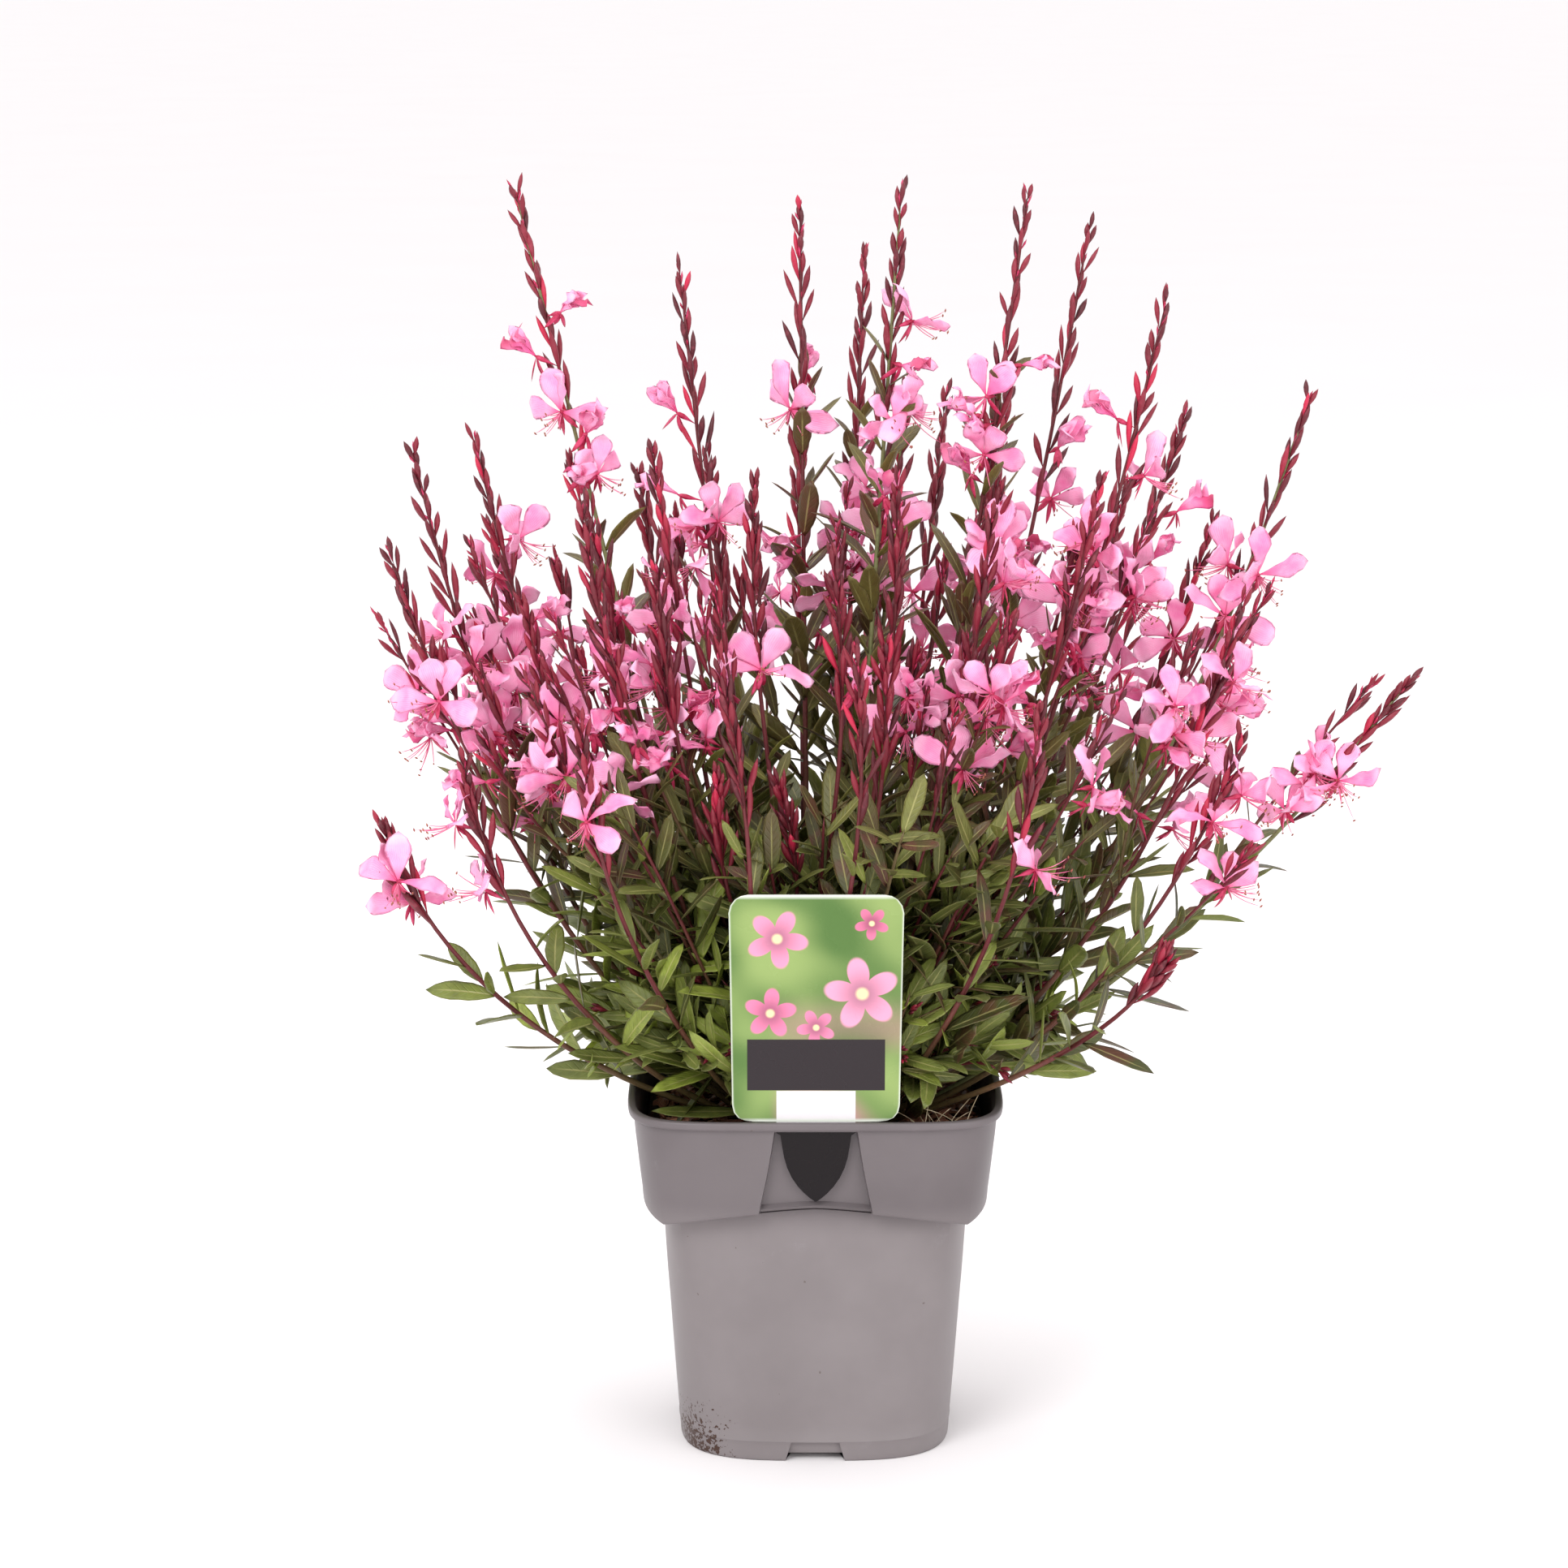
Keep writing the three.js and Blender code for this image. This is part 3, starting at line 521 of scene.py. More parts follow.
def leaf_finish():
    """Leaves from dark olive with a red cast to fresh green, browner higher up. Midrib and margin are pale."""
    leaf = Finish("leaf", Specular_IOR_Level=0.45)
    tone, along, across = leaf.attribute("tone"), leaf.attribute("along"), leaf.attribute("across")
    colour = leaf.blend(tone.ramp(0.1, 0.5), (70, 75, 37), (114, 123, 57))
    colour = leaf.blend(tone.ramp(0.55, 1.0), colour, (160, 176, 68))
    patchy = leaf.noise(160.0).ramp(0.35, 0.7)
    colour = leaf.blend(patchy * 0.35, colour, (60, 66, 32))
    cast = tone.ramp(0.4, 0.0) * leaf.noise(90.0, 2.0).ramp(0.38, 0.62) * 0.8
    colour = leaf.blend(cast, colour, (98, 54, 46))
    height = leaf.parts(leaf.place())[2]
    colour = leaf.blend(height.ramp(0.24, 0.36) * 0.4, colour, (104, 60, 42))
    rib = across.band(0.02, 0.12) * along.ramp(1.0, 0.6)
    colour = leaf.blend(rib * 0.55, colour, (182, 176, 112))
    margin = across.absolute().ramp(0.88, 1.0)
    colour = leaf.blend(margin * 0.45, colour, (184, 172, 104))
    leaf.set("Base Color", colour)
    leaf.set("Roughness", leaf.noise(120.0, 2.0).ramp(0.3, 0.7, 0.36, 0.52))
    veins = (along * 9.0 - across.absolute() * 1.6).math("FRACT") - 0.5
    leaf.bump(veins.absolute().ramp(0.0, 0.16) + across.absolute().ramp(0.0, 0.12), 0.4, 0.0004)
    return leaf.material


def petal_finish():
    """Petals: orchid pink, paler towards the margin, deep pink at the claw, with fine veins that fan out, and a
    faint painted glow in their own colour, which stands in for light coming through them and brightens petals in
    shade."""
    # Emission Strength 0.1 is painted light: a glow that stands in for light coming through the petals.
    petal = Finish("petal", Roughness=0.55, Specular_IOR_Level=0.25, Emission_Strength=0.1)
    tone, along, across = petal.attribute("tone"), petal.attribute("along"), petal.attribute("across")
    colour = petal.blend(tone, (232, 98, 160), (251, 168, 208))
    cloudy = petal.noise(130.0, 2.0).ramp(0.3, 0.7)
    colour = petal.blend(cloudy * 0.45, colour, (253, 200, 226))
    colour = petal.blend(along.ramp(0.42, 0.0) * 0.85, colour, (226, 62, 124))
    veins = (across * 6.5 + petal.noise(70.0, 1.0) * 0.8).math("FRACT") - 0.5
    colour = petal.blend(veins.band(0.0, 0.14) * along.ramp(1.0, 0.4, 0.1, 0.45), colour, (222, 70, 142))
    colour = petal.blend(along.ramp(0.75, 1.0) * 0.5, colour, (253, 212, 234))
    faded = tone.ramp(0.2, 0.0) * along.ramp(0.4, 0.9)
    colour = petal.blend(faded * 0.85, colour, (196, 46, 92))
    petal.set("Base Color", colour)
    # Painted light: the glow takes the petals' own colour, so that petals in shade stay bright pink.
    petal.set("Emission Color", colour)
    petal.bump(veins.absolute().ramp(0.0, 0.3), 0.3, 0.0004)
    return petal.material


def bud_finish():
    """Burgundy buds, a few of them crimson, darker at the root, and blotched."""
    bud = Finish("bud", Roughness=0.42, Specular_IOR_Level=0.4)
    tone, along = bud.attribute("tone"), bud.attribute("along")
    colour = bud.blend(tone.ramp(0.0, 0.7), (84, 26, 35), (132, 32, 50))
    colour = bud.blend(tone.ramp(0.9, 1.0), colour, (196, 36, 72))
    colour = bud.blend(along.ramp(0.4, 0.0) * 0.6, colour, (84, 36, 38))
    colour = bud.blend(bud.noise(300.0, 2.0).ramp(0.5, 0.8) * 0.35, colour, (176, 74, 92))
    bud.set("Base Color", colour)
    bud.bump(bud.noise(900.0, 1.0), 0.2, 0.0003)
    return bud.material


def stem_finish():
    """Stems, green-brown below and dark red above, with fine streaks. Tone near 1 turns one all green."""
    stem = Finish("stem", Roughness=0.5, Specular_IOR_Level=0.35)
    tone, along = stem.attribute("tone"), stem.attribute("along")
    colour = stem.blend(along.ramp(0.15, 0.6), (98, 84, 52), (104, 40, 46))
    colour = stem.blend(tone.ramp(0.6, 1.0), colour, (118, 122, 78))
    colour = stem.blend(stem.noise(500.0).ramp(0.45, 0.75) * 0.4, colour, (62, 34, 30))
    stem.set("Base Color", colour)
    stem.bump(stem.noise(1400.0, 2.0), 0.2, 0.0003)
    return stem.material


def mottled_finish(name, first, second, scale, roughness, bump=0.2):
    """Two colours in small patches, by a noise, with a finer grain to match."""
    finish = Finish(name, Roughness=roughness, Specular_IOR_Level=0.35)
    finish.set("Base Color", finish.blend(finish.noise(scale, 4.0, 0.6).ramp(0.35, 0.65), first, second))
    finish.bump(finish.noise(scale * 3.0), bump, 0.0006)
    return finish.material


def chip_finish():
    """Damp bark: each chip has its own brown, with grain along it and darker hollows."""
    chip = Finish("bark_chip", Roughness=0.5, Specular_IOR_Level=0.45)
    tone, across = chip.attribute("tone"), chip.attribute("across")
    colour = chip.blend(tone, (132, 78, 62), (216, 150, 120))
    grain = (across * 3.0 + chip.noise(220.0) * 2.0).math("FRACT")
    colour = chip.blend(grain.ramp(0.2, 0.9) * 0.4, colour, (80, 44, 36))
    chip.set("Base Color", colour)
    chip.bump(grain, 0.5, 0.0008)
    return chip.material


def pot_finish():
    """Grey moulded plastic: a fine grain, faint clouds, painted shade that darkens the collar, and compost low on
    the left corner.
    """
    pot = Finish("pot_grey", Specular_IOR_Level=0.45)
    x, y, z = pot.parts(pot.place())
    cloud = pot.noise(14.0, 4.0, 0.6)
    # Painted shade: from 105 to 125 mm up, the greys change to the darker ones of the collar, for the shade that
    # falls on it. The clouds in each are the plastic's own uneven tone.
    shade = cloud.ramp(0.3, 0.7)
    collar = pot.blend(shade, (96, 89, 91), (104, 97, 99))
    colour = pot.blend(z.ramp(0.105, 0.125), pot.blend(shade, (119, 112, 113), (128, 121, 122)), collar)
    scuffs = pot.noise(40.0, 6.0, 0.75).ramp(0.6, 0.8)
    colour = pot.blend(scuffs * 0.3, colour, (144, 141, 143))
    dirty = z.ramp(0.032, 0.002) * x.ramp(-0.03, -0.056) * y.ramp(0.0, -0.05)
    specks = (pot.noise(520.0, 3.0, 0.6) + dirty * 0.22).ramp(0.65, 0.68) * dirty.ramp(0.02, 0.15)
    colour = pot.blend(specks, colour, (60, 34, 22))
    stray = pot.noise(260.0, 1.0).ramp(0.79, 0.8)
    colour = pot.blend(stray * 0.7, colour, (84, 72, 64))
    pot.set("Base Color", colour)
    pot.set("Roughness", cloud.ramp(0.3, 0.7, 0.38, 0.5))
    pot.bump(pot.noise(2600.0, 2.0), 0.08, 0.0003)
    return pot.material


# Blossoms printed on the label: place across and up, radius, turn and colour.
BLOSSOMS = [
    (-0.017, 0.247, 0.0135, 0.4, (232, 148, 180)),
    (0.02, 0.222, 0.0165, 1.9, (236, 158, 188)),
    (-0.02, 0.213, 0.0115, 2.6, (224, 128, 164)),
    (0.024, 0.254, 0.0075, 0.9, (214, 118, 152)),
    (0.0, 0.2065, 0.0085, 1.2, (222, 132, 166)),
]
PRINT_BAND = (0.1775, 0.2012)


def label_finish():
    """A printed card: round-petalled blossoms on a blurred green ground, a plain dark band, a bare white tab, a
    white cut edge, and a near-black peg."""
    card = Finish("label_print", Roughness=0.25, Specular_IOR_Level=0.2)
    x, _, z = card.parts(card.place())
    colour = card.blend(card.noise(24.0, 1.0).ramp(0.35, 0.65), (84, 116, 60), (144, 166, 100))
    haze = card.noise(20.0, 0.0).ramp(0.38, 0.56) * z.ramp(0.225, 0.185)
    colour = card.blend(haze * 0.9, colour, (216, 132, 164))
    for centre_x, centre_z, size, turn, pink in BLOSSOMS:
        dx, dz = x - centre_x, z - centre_z
        radius = (dx * dx + dz * dz).math("SQRT") / size
        angle = dz.math("ARCTAN2", dx) * 2.5 + turn
        outline = angle.math("COSINE").absolute() * 0.6 + 0.4
        deep = tuple(0.72 * part for part in pink)
        paint = card.blend(radius.ramp(0.0, 0.9), deep, pink)
        colour = card.blend((radius / outline).ramp(1.06, 0.94), colour, paint)
        colour = card.blend(radius.ramp(0.22, 0.1), colour, (236, 218, 168))
    band = z.ramp(PRINT_BAND[0], PRINT_BAND[0] + 2e-4) * z.ramp(PRINT_BAND[1], PRINT_BAND[1] - 2e-4)
    colour = card.blend(band * x.band(0.03, 2e-4), colour, (46, 40, 43))
    tab = z.ramp(PRINT_BAND[0], PRINT_BAND[0] - 2e-4) * x.band(0.0172, 2e-4)
    colour = card.blend(tab, colour, (214, 211, 213))
    colour = card.blend(card.attribute("edge"), colour, (214, 220, 208))
    colour = card.blend(z.ramp(0.1615, 0.161), colour, (20, 15, 17))
    card.set("Base Color", colour)
    card.set("Roughness", card.noise(60.0).ramp(0.3, 0.7, 0.22, 0.3))
    return card.material


# Pot: four sides, each a function of a place along the side and a row of the profile.

def strip_half(height):
    """Half width of the strip that the columns follow: the foot notch, then the label recess above it."""
    return np.interp(height, [0, NOTCH_HEIGHT, SHOULDER_HEIGHT, RECESS_CEILING, POT_HEIGHT],
                     [13, 10.5, 24.9, 18, 17.4])


# What is cut into the strip (a notch, the recess, the slot, or the recess seen from within), and half widths,
# heights and shares of the collar's arch.
POT_ROWS = [(*row, cut) for cut, rows in [
    ("notch", [(60.6, 0, 0), (61.2, 0.25, 0), (61.45, 0.9, 0), (61.6, 3, 0), (61.8, 6, 0), (62, 8.75, 0)]),
    ("", [(62.05, 8.85, 0), (62.2, 9.1, 0), (62.2, 9.5, 0), (62.02, 9.8, 0), (62.6, 18, 0), (63.3, 28, 0),
        (64.1, 40, 0), (65, 54, 0), (65.9, 68, 0), (66.9, 82, 0), (67.8, 96, 0.25), (68.4, 105, 0.6),
        (68.75, 110.5, 1), (69.1, 111.6, 1), (70.2, 111.9, 1), (73.2, 112, 1)]),
    ("recess", [(73.3, 112, 1), (76.3, 112, 1), (77.2, 112.3, 1), (77.7, 113.1, 1), (77.8, 114.3, 1),
        (78, 118, 0.9), (78.6, 125, 0.6), (79.3, 133, 0.3), (80, 141, 0.1), (80.8, 149, 0), (81.5, 157.4, 0),
        (81.6, 158.4, 0)]),
    ("", [(81.62, 158.55, 0), (81.8, 159, 0), (83.3, 159.3, 0), (83.85, 159.8, 0), (84, 160.6, 0), (84, 162, 0),
        (83.75, 162.7, 0), (83.1, 163, 0), (82, 163, 0)]),
    ("slot", [(81.2, 162.9, 0), (80.7, 162.4, 0), (80.3, 160, 0), (79.8, 158.6, 0)]),
    ("within", [(79.6, 158.2, 0), (79.3, 152, 0), (78.4, 141, 0), (76.2, 117, 1)]),
    ("", [(75.9, 114.5, 1), (67.2, 112.5, 1), (66, 90, 0), (62, 30, 0), (59.7, 5, 0), (59, 3.2, 0),
        (57, 3, 0)]),
] for row in rows]


def side_places(corner, edge):
    """Places along half a side: even over the inner strip, doubled at its edge, closer towards the corner."""
    inner = np.array([0, 0.25, 0.5, 0.75, 0.93, 1.0])[:, None] * (edge - 0.35)
    share = np.linspace(0, 1, 17)[:, None]
    outer = mix(edge + 0.35, corner, np.sin(share * np.pi / 2))
    return np.concatenate([inner, outer])


def make_pot(finish):
    """Rings of the pot. A section is |x|^n + |y|^n = h^n, so that on a side y = -(h^n - |x|^n)^(1/n). The foot
    notches and the recess push their strip inwards, and the arched rows rise towards the middle of each side."""
    half, height, arched = (np.array([row[k] for row in POT_ROWS], dtype=float) for k in range(3))
    cut = np.array([row[3] for row in POT_ROWS])
    power = mix(BASE_SQUARENESS, RIM_SQUARENESS, height / POT_HEIGHT)
    places = side_places(half * 2 ** (-1 / power), strip_half(height))
    along = np.concatenate([-places[:0:-1], places])[:-1]
    depth = (half ** power - np.abs(along) ** power) ** (1 / power)
    lift = arched * COLLAR_ARCH * (1 - (np.abs(along) / depth) ** ARCH_POWER)
    strip = np.abs(along) < strip_half(height)
    notch = np.where(strip & (cut == "notch"), depth - NOTCH_REACH, 0.0)
    recess = np.where(strip & (cut == "recess"), np.minimum(RECESS_DEPTH, depth - 69.3), 0.0)
    recess += np.where(strip & (cut == "within"), RECESS_DEPTH, 0.0)
    recess -= np.where(strip & (cut == "slot"), 1.1, 0.0)
    sides = []
    for quarter in range(4):
        y = -(depth - notch - (recess if quarter == 0 else 0.0))
        turn = quarter * np.pi / 2
        x, y = along * np.cos(turn) - y * np.sin(turn), along * np.sin(turn) + y * np.cos(turn)
        sides.append(np.stack([x, y, height + lift], axis=-1))
    rings = np.concatenate(sides).swapaxes(0, 1)
    pot = add_piece("pot_shell", closed(rings, 0, FLOOR), finish, "pot", "pot")
    pot.data.set_sharp_from_angle(angle=np.radians(50))


# Half width and height of the label's outline, from the point of the peg to the top edge.
LABEL_ROWS = [
    (0.0, -37.5), (2.6, -35.6), (5.2, -33.2), (8.0, -30.0), (10.6, -26.0), (12.6, -21.5), (14.0, -16.5),
    (14.9, -11.0), (15.5, -6.3), (15.6, -6.2), (17.4, -5.2), (17.4, 0.0), (28.1, 0.2), (31.2, 0.6), (34.0, 1.9),
    (35.9, 4.3), (36.6, 7.4), (36.7, 9.0), (37.0, 30.0), (37.4, 60.0), (37.9, 94.0), (38.0, 95.6), (37.2, 99.0),
    (35.2, 101.8), (32.6, 103.4), (29.6, 104.0), (0.0, 104.0),
]


def make_label(finish):
    """A flat card that leans out with the pot's wall. Each row is a flat ring, and edge marks the cut border."""
    across = np.array([-1, -0.975, -0.8, -0.3, 0.3, 0.8, 0.975, 1])
    half, height = np.array(LABEL_ROWS[1:-1]).T
    bow = 0.9 * (height.clip(0, None) / 104) ** 2
    front, back = half[:, None] * across, half[:, None] * across[::-1]
    thin = np.where(np.abs(across) == 1, 0.24, 0.4)
    x = np.concatenate([front, back], axis=1)
    y = np.concatenate([-thin, thin]) - bow[:, None]
    rings = np.stack([x, y, np.broadcast_to(height[:, None], x.shape)], axis=-1)
    points, faces, _ = closed(rings, LABEL_ROWS[0][1], LABEL_ROWS[-1][1])
    points[-1, 1] = -0.9
    points[:, 1] += SLOT_Y - np.tan(WALL_LEAN) * points[:, 2]
    border = np.zeros(x.shape)
    border[:, np.abs(np.concatenate([across, across])) > 0.99] = 1
    border[(height > 102) | (height > 0.1) & (height < 1.0)] = 1
    edge = np.concatenate([[0], border.ravel(), [1]])
    points[:, 2] += POT_HEIGHT
    label = add_piece("label_card", (points, faces, {"edge": edge}), finish, "label", "label")
    label.data.set_sharp_from_angle(angle=np.radians(35))


# Planting.

def make_bark(finish):
    """Loose chips: flat shards with irregular corners, laid at random over a lumpy bed."""
    count = 700
    place = np.stack([*rng.uniform(-72, 72, (2, count)), rng.uniform(-1.0, 2.6, count)], axis=-1)
    spread = squared(place[:, 0], place[:, 1])
    recess = (np.abs(place[:, 0]) < 34) & (place[:, 1] < -62)
    place = place[(np.hypot(place[:, 0], place[:, 1]) > 34) & (spread < 70) & ~recess]
    count = len(place)
    place[:, 2] += BARK_TOP - 1.0
    along = heading(rng.uniform(0, 2 * np.pi, count), rng.uniform(-0.4, 0.4, count))
    side, face = frames(along, UP + rng.normal(0, 0.3, along.shape))
    length = rng.uniform(7, 16, count)
    width = length * rng.uniform(0.3, 0.55, count)
    wide = np.array([0, 0.75, 1.0, 0.85, 0.6, 0]) * rng.uniform(0.75, 1.2, (count, 6)) * width[:, None] / 2
    start = place - along * length[:, None] / 2
    middle = curved(start, along, face, length, 6, rng.uniform(-0.08, 0.08, count))
    thick = np.broadcast_to(rng.uniform(0.7, 1.6, count)[:, None], wide.shape)
    chips = Blades(middle, side[:, None], face[:, None], wide, thick, 6)
    chips.points += rng.normal(0, 0.25, chips.points.shape)
    add_piece("bark_chips", chips.shape(), finish, "bark_mulch", "bark_mulch", flat=True)


def make_bed(finish):
    """The bark bed under the chips: a sheet over the pot's inside with lumps from four crossed sine waves, drawn
    in at the label recess, and closed below."""
    rows, columns = 22, 96
    angle = circle(columns)
    reach = 1 / squared(np.cos(angle), np.sin(angle))
    share = np.concatenate([[0.99], np.linspace(1.0, 0.03, rows)])[:, None]
    x, y = BED_HALF * reach * share * np.cos(angle), BED_HALF * reach * share * np.sin(angle)
    y = np.where(np.abs(x) < 31, np.maximum(y, -70.5), y)
    waves = [(0.23, 0.4, 1.5), (0.41, 1.9, 2.5), (0.77, 3.1, 3.5), (1.3, 0.8, 4.5)]
    lumps = sum(np.sin(x * f + p) * np.sin(y * f * 1.13 + 2 * p) / part for f, p, part in waves)
    height = BARK_TOP - 2.6 + 1.3 * lumps
    height[0], height[1] = BED_LOW, BARK_TOP - 4.5
    rings = np.stack([x, y, height], axis=-1)
    add_piece("bark_bed", closed(rings, BED_LOW, BARK_TOP - 2), finish, "bark_mulch")


def make_crown(finish):
    """The woody base, up to the stems' feet: a low dome, its radius falling as cos^0.45, with seven ridges."""
    rows, columns = 16, 40
    angle = circle(columns)
    share = np.linspace(0, 1, rows)[:, None]
    radius = (CROWN_RADIUS - 1) * np.cos(share * np.pi / 2 * 0.97) ** 0.45
    radius = radius * (1 + 0.05 * np.sin(7 * angle + 9 * share))
    height = mix(CROWN_LOW, CROWN_TOP - 1.5, share ** 0.7) + 1.2 * np.sin(5 * angle + 4 * share) * share
    rings = np.stack([radius * np.cos(angle), radius * np.sin(angle), height * np.ones_like(angle)], axis=-1)
    add_piece("woody_crown", closed(rings, CROWN_LOW, CROWN_TOP - 1), finish, "crown", "crown")


def make_root_hairs(finish, count=26):
    """Pale root hairs that stick out of the bark at the front right of the rim."""
    root = np.stack([rng.uniform(44, 72, count), rng.uniform(-72, -58, count), np.full(count, 149.0)], axis=-1)
    along = heading(rng.uniform(0, 2 * np.pi, count), rng.uniform(0.7, 2.4, count))
    side, face = frames(along, UP)
    middle = curved(root, along, -face, rng.uniform(16, 28, count), 9, rng.uniform(0.0, 0.5, count))
    wide = np.full((count, 9), 0.2)
    hairs = Blades(middle, side[:, None], face[:, None], wide, wide, 4)
    hairs.keep(clear(hairs.points))
    add_piece("root_hairs", hairs.shape(), finish, "bark_mulch")


# Leaves.

def place_leaves(shoots, each, zone, lengths, slim, lean):
    """Roots, directions and sizes of leaves, spiralling up each shoot by the golden angle."""
    index, step = numbered(shoots, each)
    count = len(step)
    share = (step + rng.uniform(0, 0.9, count)) / each
    turn = step * GOLDEN_ANGLE + index * 2.0 + rng.uniform(-0.3, 0.3, count)
    t = mix(zone[0], zone[1], share)
    root, along, up = shoots.leaving(index, t, turn, rng.uniform(lean[0], lean[1], count))
    length = mix(lengths[0], lengths[1], share) * rng.uniform(0.7, 1.15, count)
    return root, along, up, length, length * slim * rng.uniform(0.8, 1.15, count)


def leaf_blades(root, along, up, length, width, rows=9, columns=8):
    """Lance-shaped leaves. Half width is 3.12 v^0.9 (1-v)^0.75 of its greatest, with a slow ripple, and the blade
    arches back, twists a little, and folds up along its midrib."""
    count = len(root)
    side, face = turned(*frames(along, up), rng.uniform(-0.5, 0.5, count))
    middle = curved(root, along, face, length, rows, rng.uniform(-0.26, 0.12, count))
    v = np.linspace(0, 1, rows)
    shape = 3.12 * v ** 0.9 * (1 - v) ** 0.75
    ripple = 1 + 0.06 * np.sin(v * 17 + rng.uniform(0, 6, (count, 1)))
    wide = shape * ripple * width[:, None] / 2 + 0.3
    thick = np.broadcast_to(0.17 + 0.12 * shape, wide.shape)
    fold = np.broadcast_to(rng.uniform(0.05, 0.42, (count, 1)), wide.shape)
    return Blades(middle, side[:, None], face[:, None], wide, thick, columns, fold)


def make_leaves(stems, branches, mound, dome, finish):
    """Leaves of the stems, the branches, the mound and the dome. Those low on the left are freshest."""
    leafy, outer = stems.only(LEAFY_STEMS), mound.only(slice(mound.count // 2, None))
    for name, leaves, low, high in (
        ("stem_leaves", place_leaves(stems, 17, (0.08, 0.66), (50, 29), 0.25, (0.5, 1.1)), 0.0, 0.7),
        ("upper_leaves", place_leaves(leafy, 22, (0.48, 0.84), (42, 22), 0.26, (0.5, 0.9)), 0.0, 0.5),
        ("branch_leaves", place_leaves(branches, 7, (0.0, 0.62), (36, 18), 0.22, (0.35, 0.9)), 0.0, 0.6),
        ("mound_leaves", place_leaves(mound, 11, (0.2, 1.0), (46, 28), 0.235, (0.45, 1.15)), 0.1, 0.85),
        ("dome_leaves", place_leaves(dome, 10, (0.35, 1.0), (44, 26), 0.23, (0.4, 1.0)), 0.0, 0.75),
        ("skirt_leaves", place_leaves(outer, 3, (0.25, 0.6), (52, 42), 0.27, (0.8, 1.4)), 0.1, 0.75),
    ):
        blades = leaf_blades(*leaves)
        root = leaves[0]
        fresh = np.where((root[:, 0] < 20) & (root[:, 1] < 40) & (root[:, 2] < 235), 0.2, 0.0)
        tone = np.clip(rng.uniform(low, high, len(root)) + fresh, 0, 1)
        kept = clear(blades.points) & off_bark(blades.points)
        blades.keep(kept)
        add_piece(name, blades.shape(tone=tone[kept]), finish)


def make_basal_leaves(finish, count=22):
    """The large lowest leaves, which rise from the crown and lie over the bark towards the rim."""
    along = heading(np.arange(count) * GOLDEN_ANGLE, rng.uniform(0.25, 0.7, count))
    root = along * [CROWN_RADIUS - 8, CROWN_RADIUS - 8, 0] + UP * (CROWN_TOP - 3)
    blades = leaf_blades(root, along, UP, rng.uniform(40, 60, count), rng.uniform(12, 16, count), 13)
    blades.keep(clear(blades.points[:, 9:]) & off_bark(blades.points))
    add_piece("basal_leaves", blades.shape(0.1, 0.6), finish, "crown")


# Spikes of buds.

def spindles(root, along, face, length, radius, columns=5, rows=7, arch=0.0, peak=0.62):
    """Round tubes, slender at the root: the radius is sin(pi v^p), with p so that it peaks where asked."""
    v = np.linspace(0, 1, rows)
    shape = np.maximum(np.abs(np.sin(np.pi * v ** (np.log(0.5) / np.log(peak)))), 0.25 * (1 - v))
    side, across = frames(along, face)
    middle = curved(root, along, across, length, rows, arch)
    radius = shape * radius[:, None]
    return Blades(middle, side[:, None], across[:, None], radius, radius, columns)


def spike_buds(shoots, each, zone, longest, radius):
    """Buds up a spike: long ones below that stand off and curve up, short crowded ones at the tip."""
    index, step = numbered(shoots, each)
    count = len(step)
    share = (step + rng.uniform(0, 0.7, count)) / each
    turn = step * GOLDEN_ANGLE + index * 1.7
    lean = mix(0.36, 0.32, share) * rng.uniform(0.5, 1.4, count)
    root, along, up = shoots.leaving(index, mix(zone[0], zone[1], share ** 0.7), turn, lean)
    length = longest * mix(1.0, 0.42, share ** 1.4) * rng.uniform(0.7, 1.15, count)
    width = radius * mix(1.0, 0.76, share) * rng.uniform(0.8, 1.15, count)
    return spindles(root, along, up, length, width, arch=rng.uniform(-0.02, 0.16, count))


def tip_bracts(shoots, each=9):
    """Fine bracts that flare from the very tip of a spike."""
    index, step = numbered(shoots, each)
    count = len(step)
    lean = rng.uniform(0.1, 0.5, count)
    root, along, up = shoots.leaving(index, 1 - 0.012 * step, step * GOLDEN_ANGLE + index, lean)
    return spindles(root, along, up, rng.uniform(4, 8, count), np.full(count, 0.65), 3, 4)


def make_spikes(stems, branches, mound, bud, sepal):
    """Bud spikes on the stems and branches, and small red tips on a third of the mound's shoots."""
    for name, buds in (
        ("stem_buds", spike_buds(stems, 25, (0.72, 1.0), 25, 1.65)),
        ("branch_buds", spike_buds(branches, 9, (0.7, 1.0), 22, 1.4)),
        ("young_buds", spike_buds(mound.only(slice(None, None, 3)), 6, (0.93, 1.0), 10, 1.1)),
    ):
        buds.keep(clear(buds.points))
        add_piece(name, buds.shape(), bud)
    for name, shoots in (("stem_bracts", stems), ("branch_bracts", branches)):
        add_piece(name, tip_bracts(shoots).shape(), sepal)


# Blooms.

PETAL_LENGTH, PETAL_WIDTH = 21.5, 11.4
PETAL_FAN = np.radians([-82, -28, 28, 82])
SEPAL_FAN = np.radians([150, 185, 220])


def stem_blooms(stems):
    """Blooms as in the model's source: each stands off its stem on a short stalk, towards its bearing."""
    rows = []
    for i, row in enumerate(STEMS):
        for k, (share, bearing) in enumerate(row[4]):
            draw = seeded_draws(100 * i + k)
            rows.append([i, share, np.radians(bearing), *(next(draw) for _ in range(5))])
    stem, share, bearing, roll, size, opened, lift, stalk = np.array(rows).T
    zero = np.zeros(len(rows))
    out = heading(bearing, mix(0, 0.6, lift))
    foot = stems.leaving(stem.astype(int), share, zero, zero)[0]
    return {"foot": foot, "out": out, "centre": foot + out * mix(8, 12, stalk)[:, None],
            "roll": mix(-0.3, 0.3, roll), "size": mix(0.85, 1.1, size), "open": opened > 0.3}


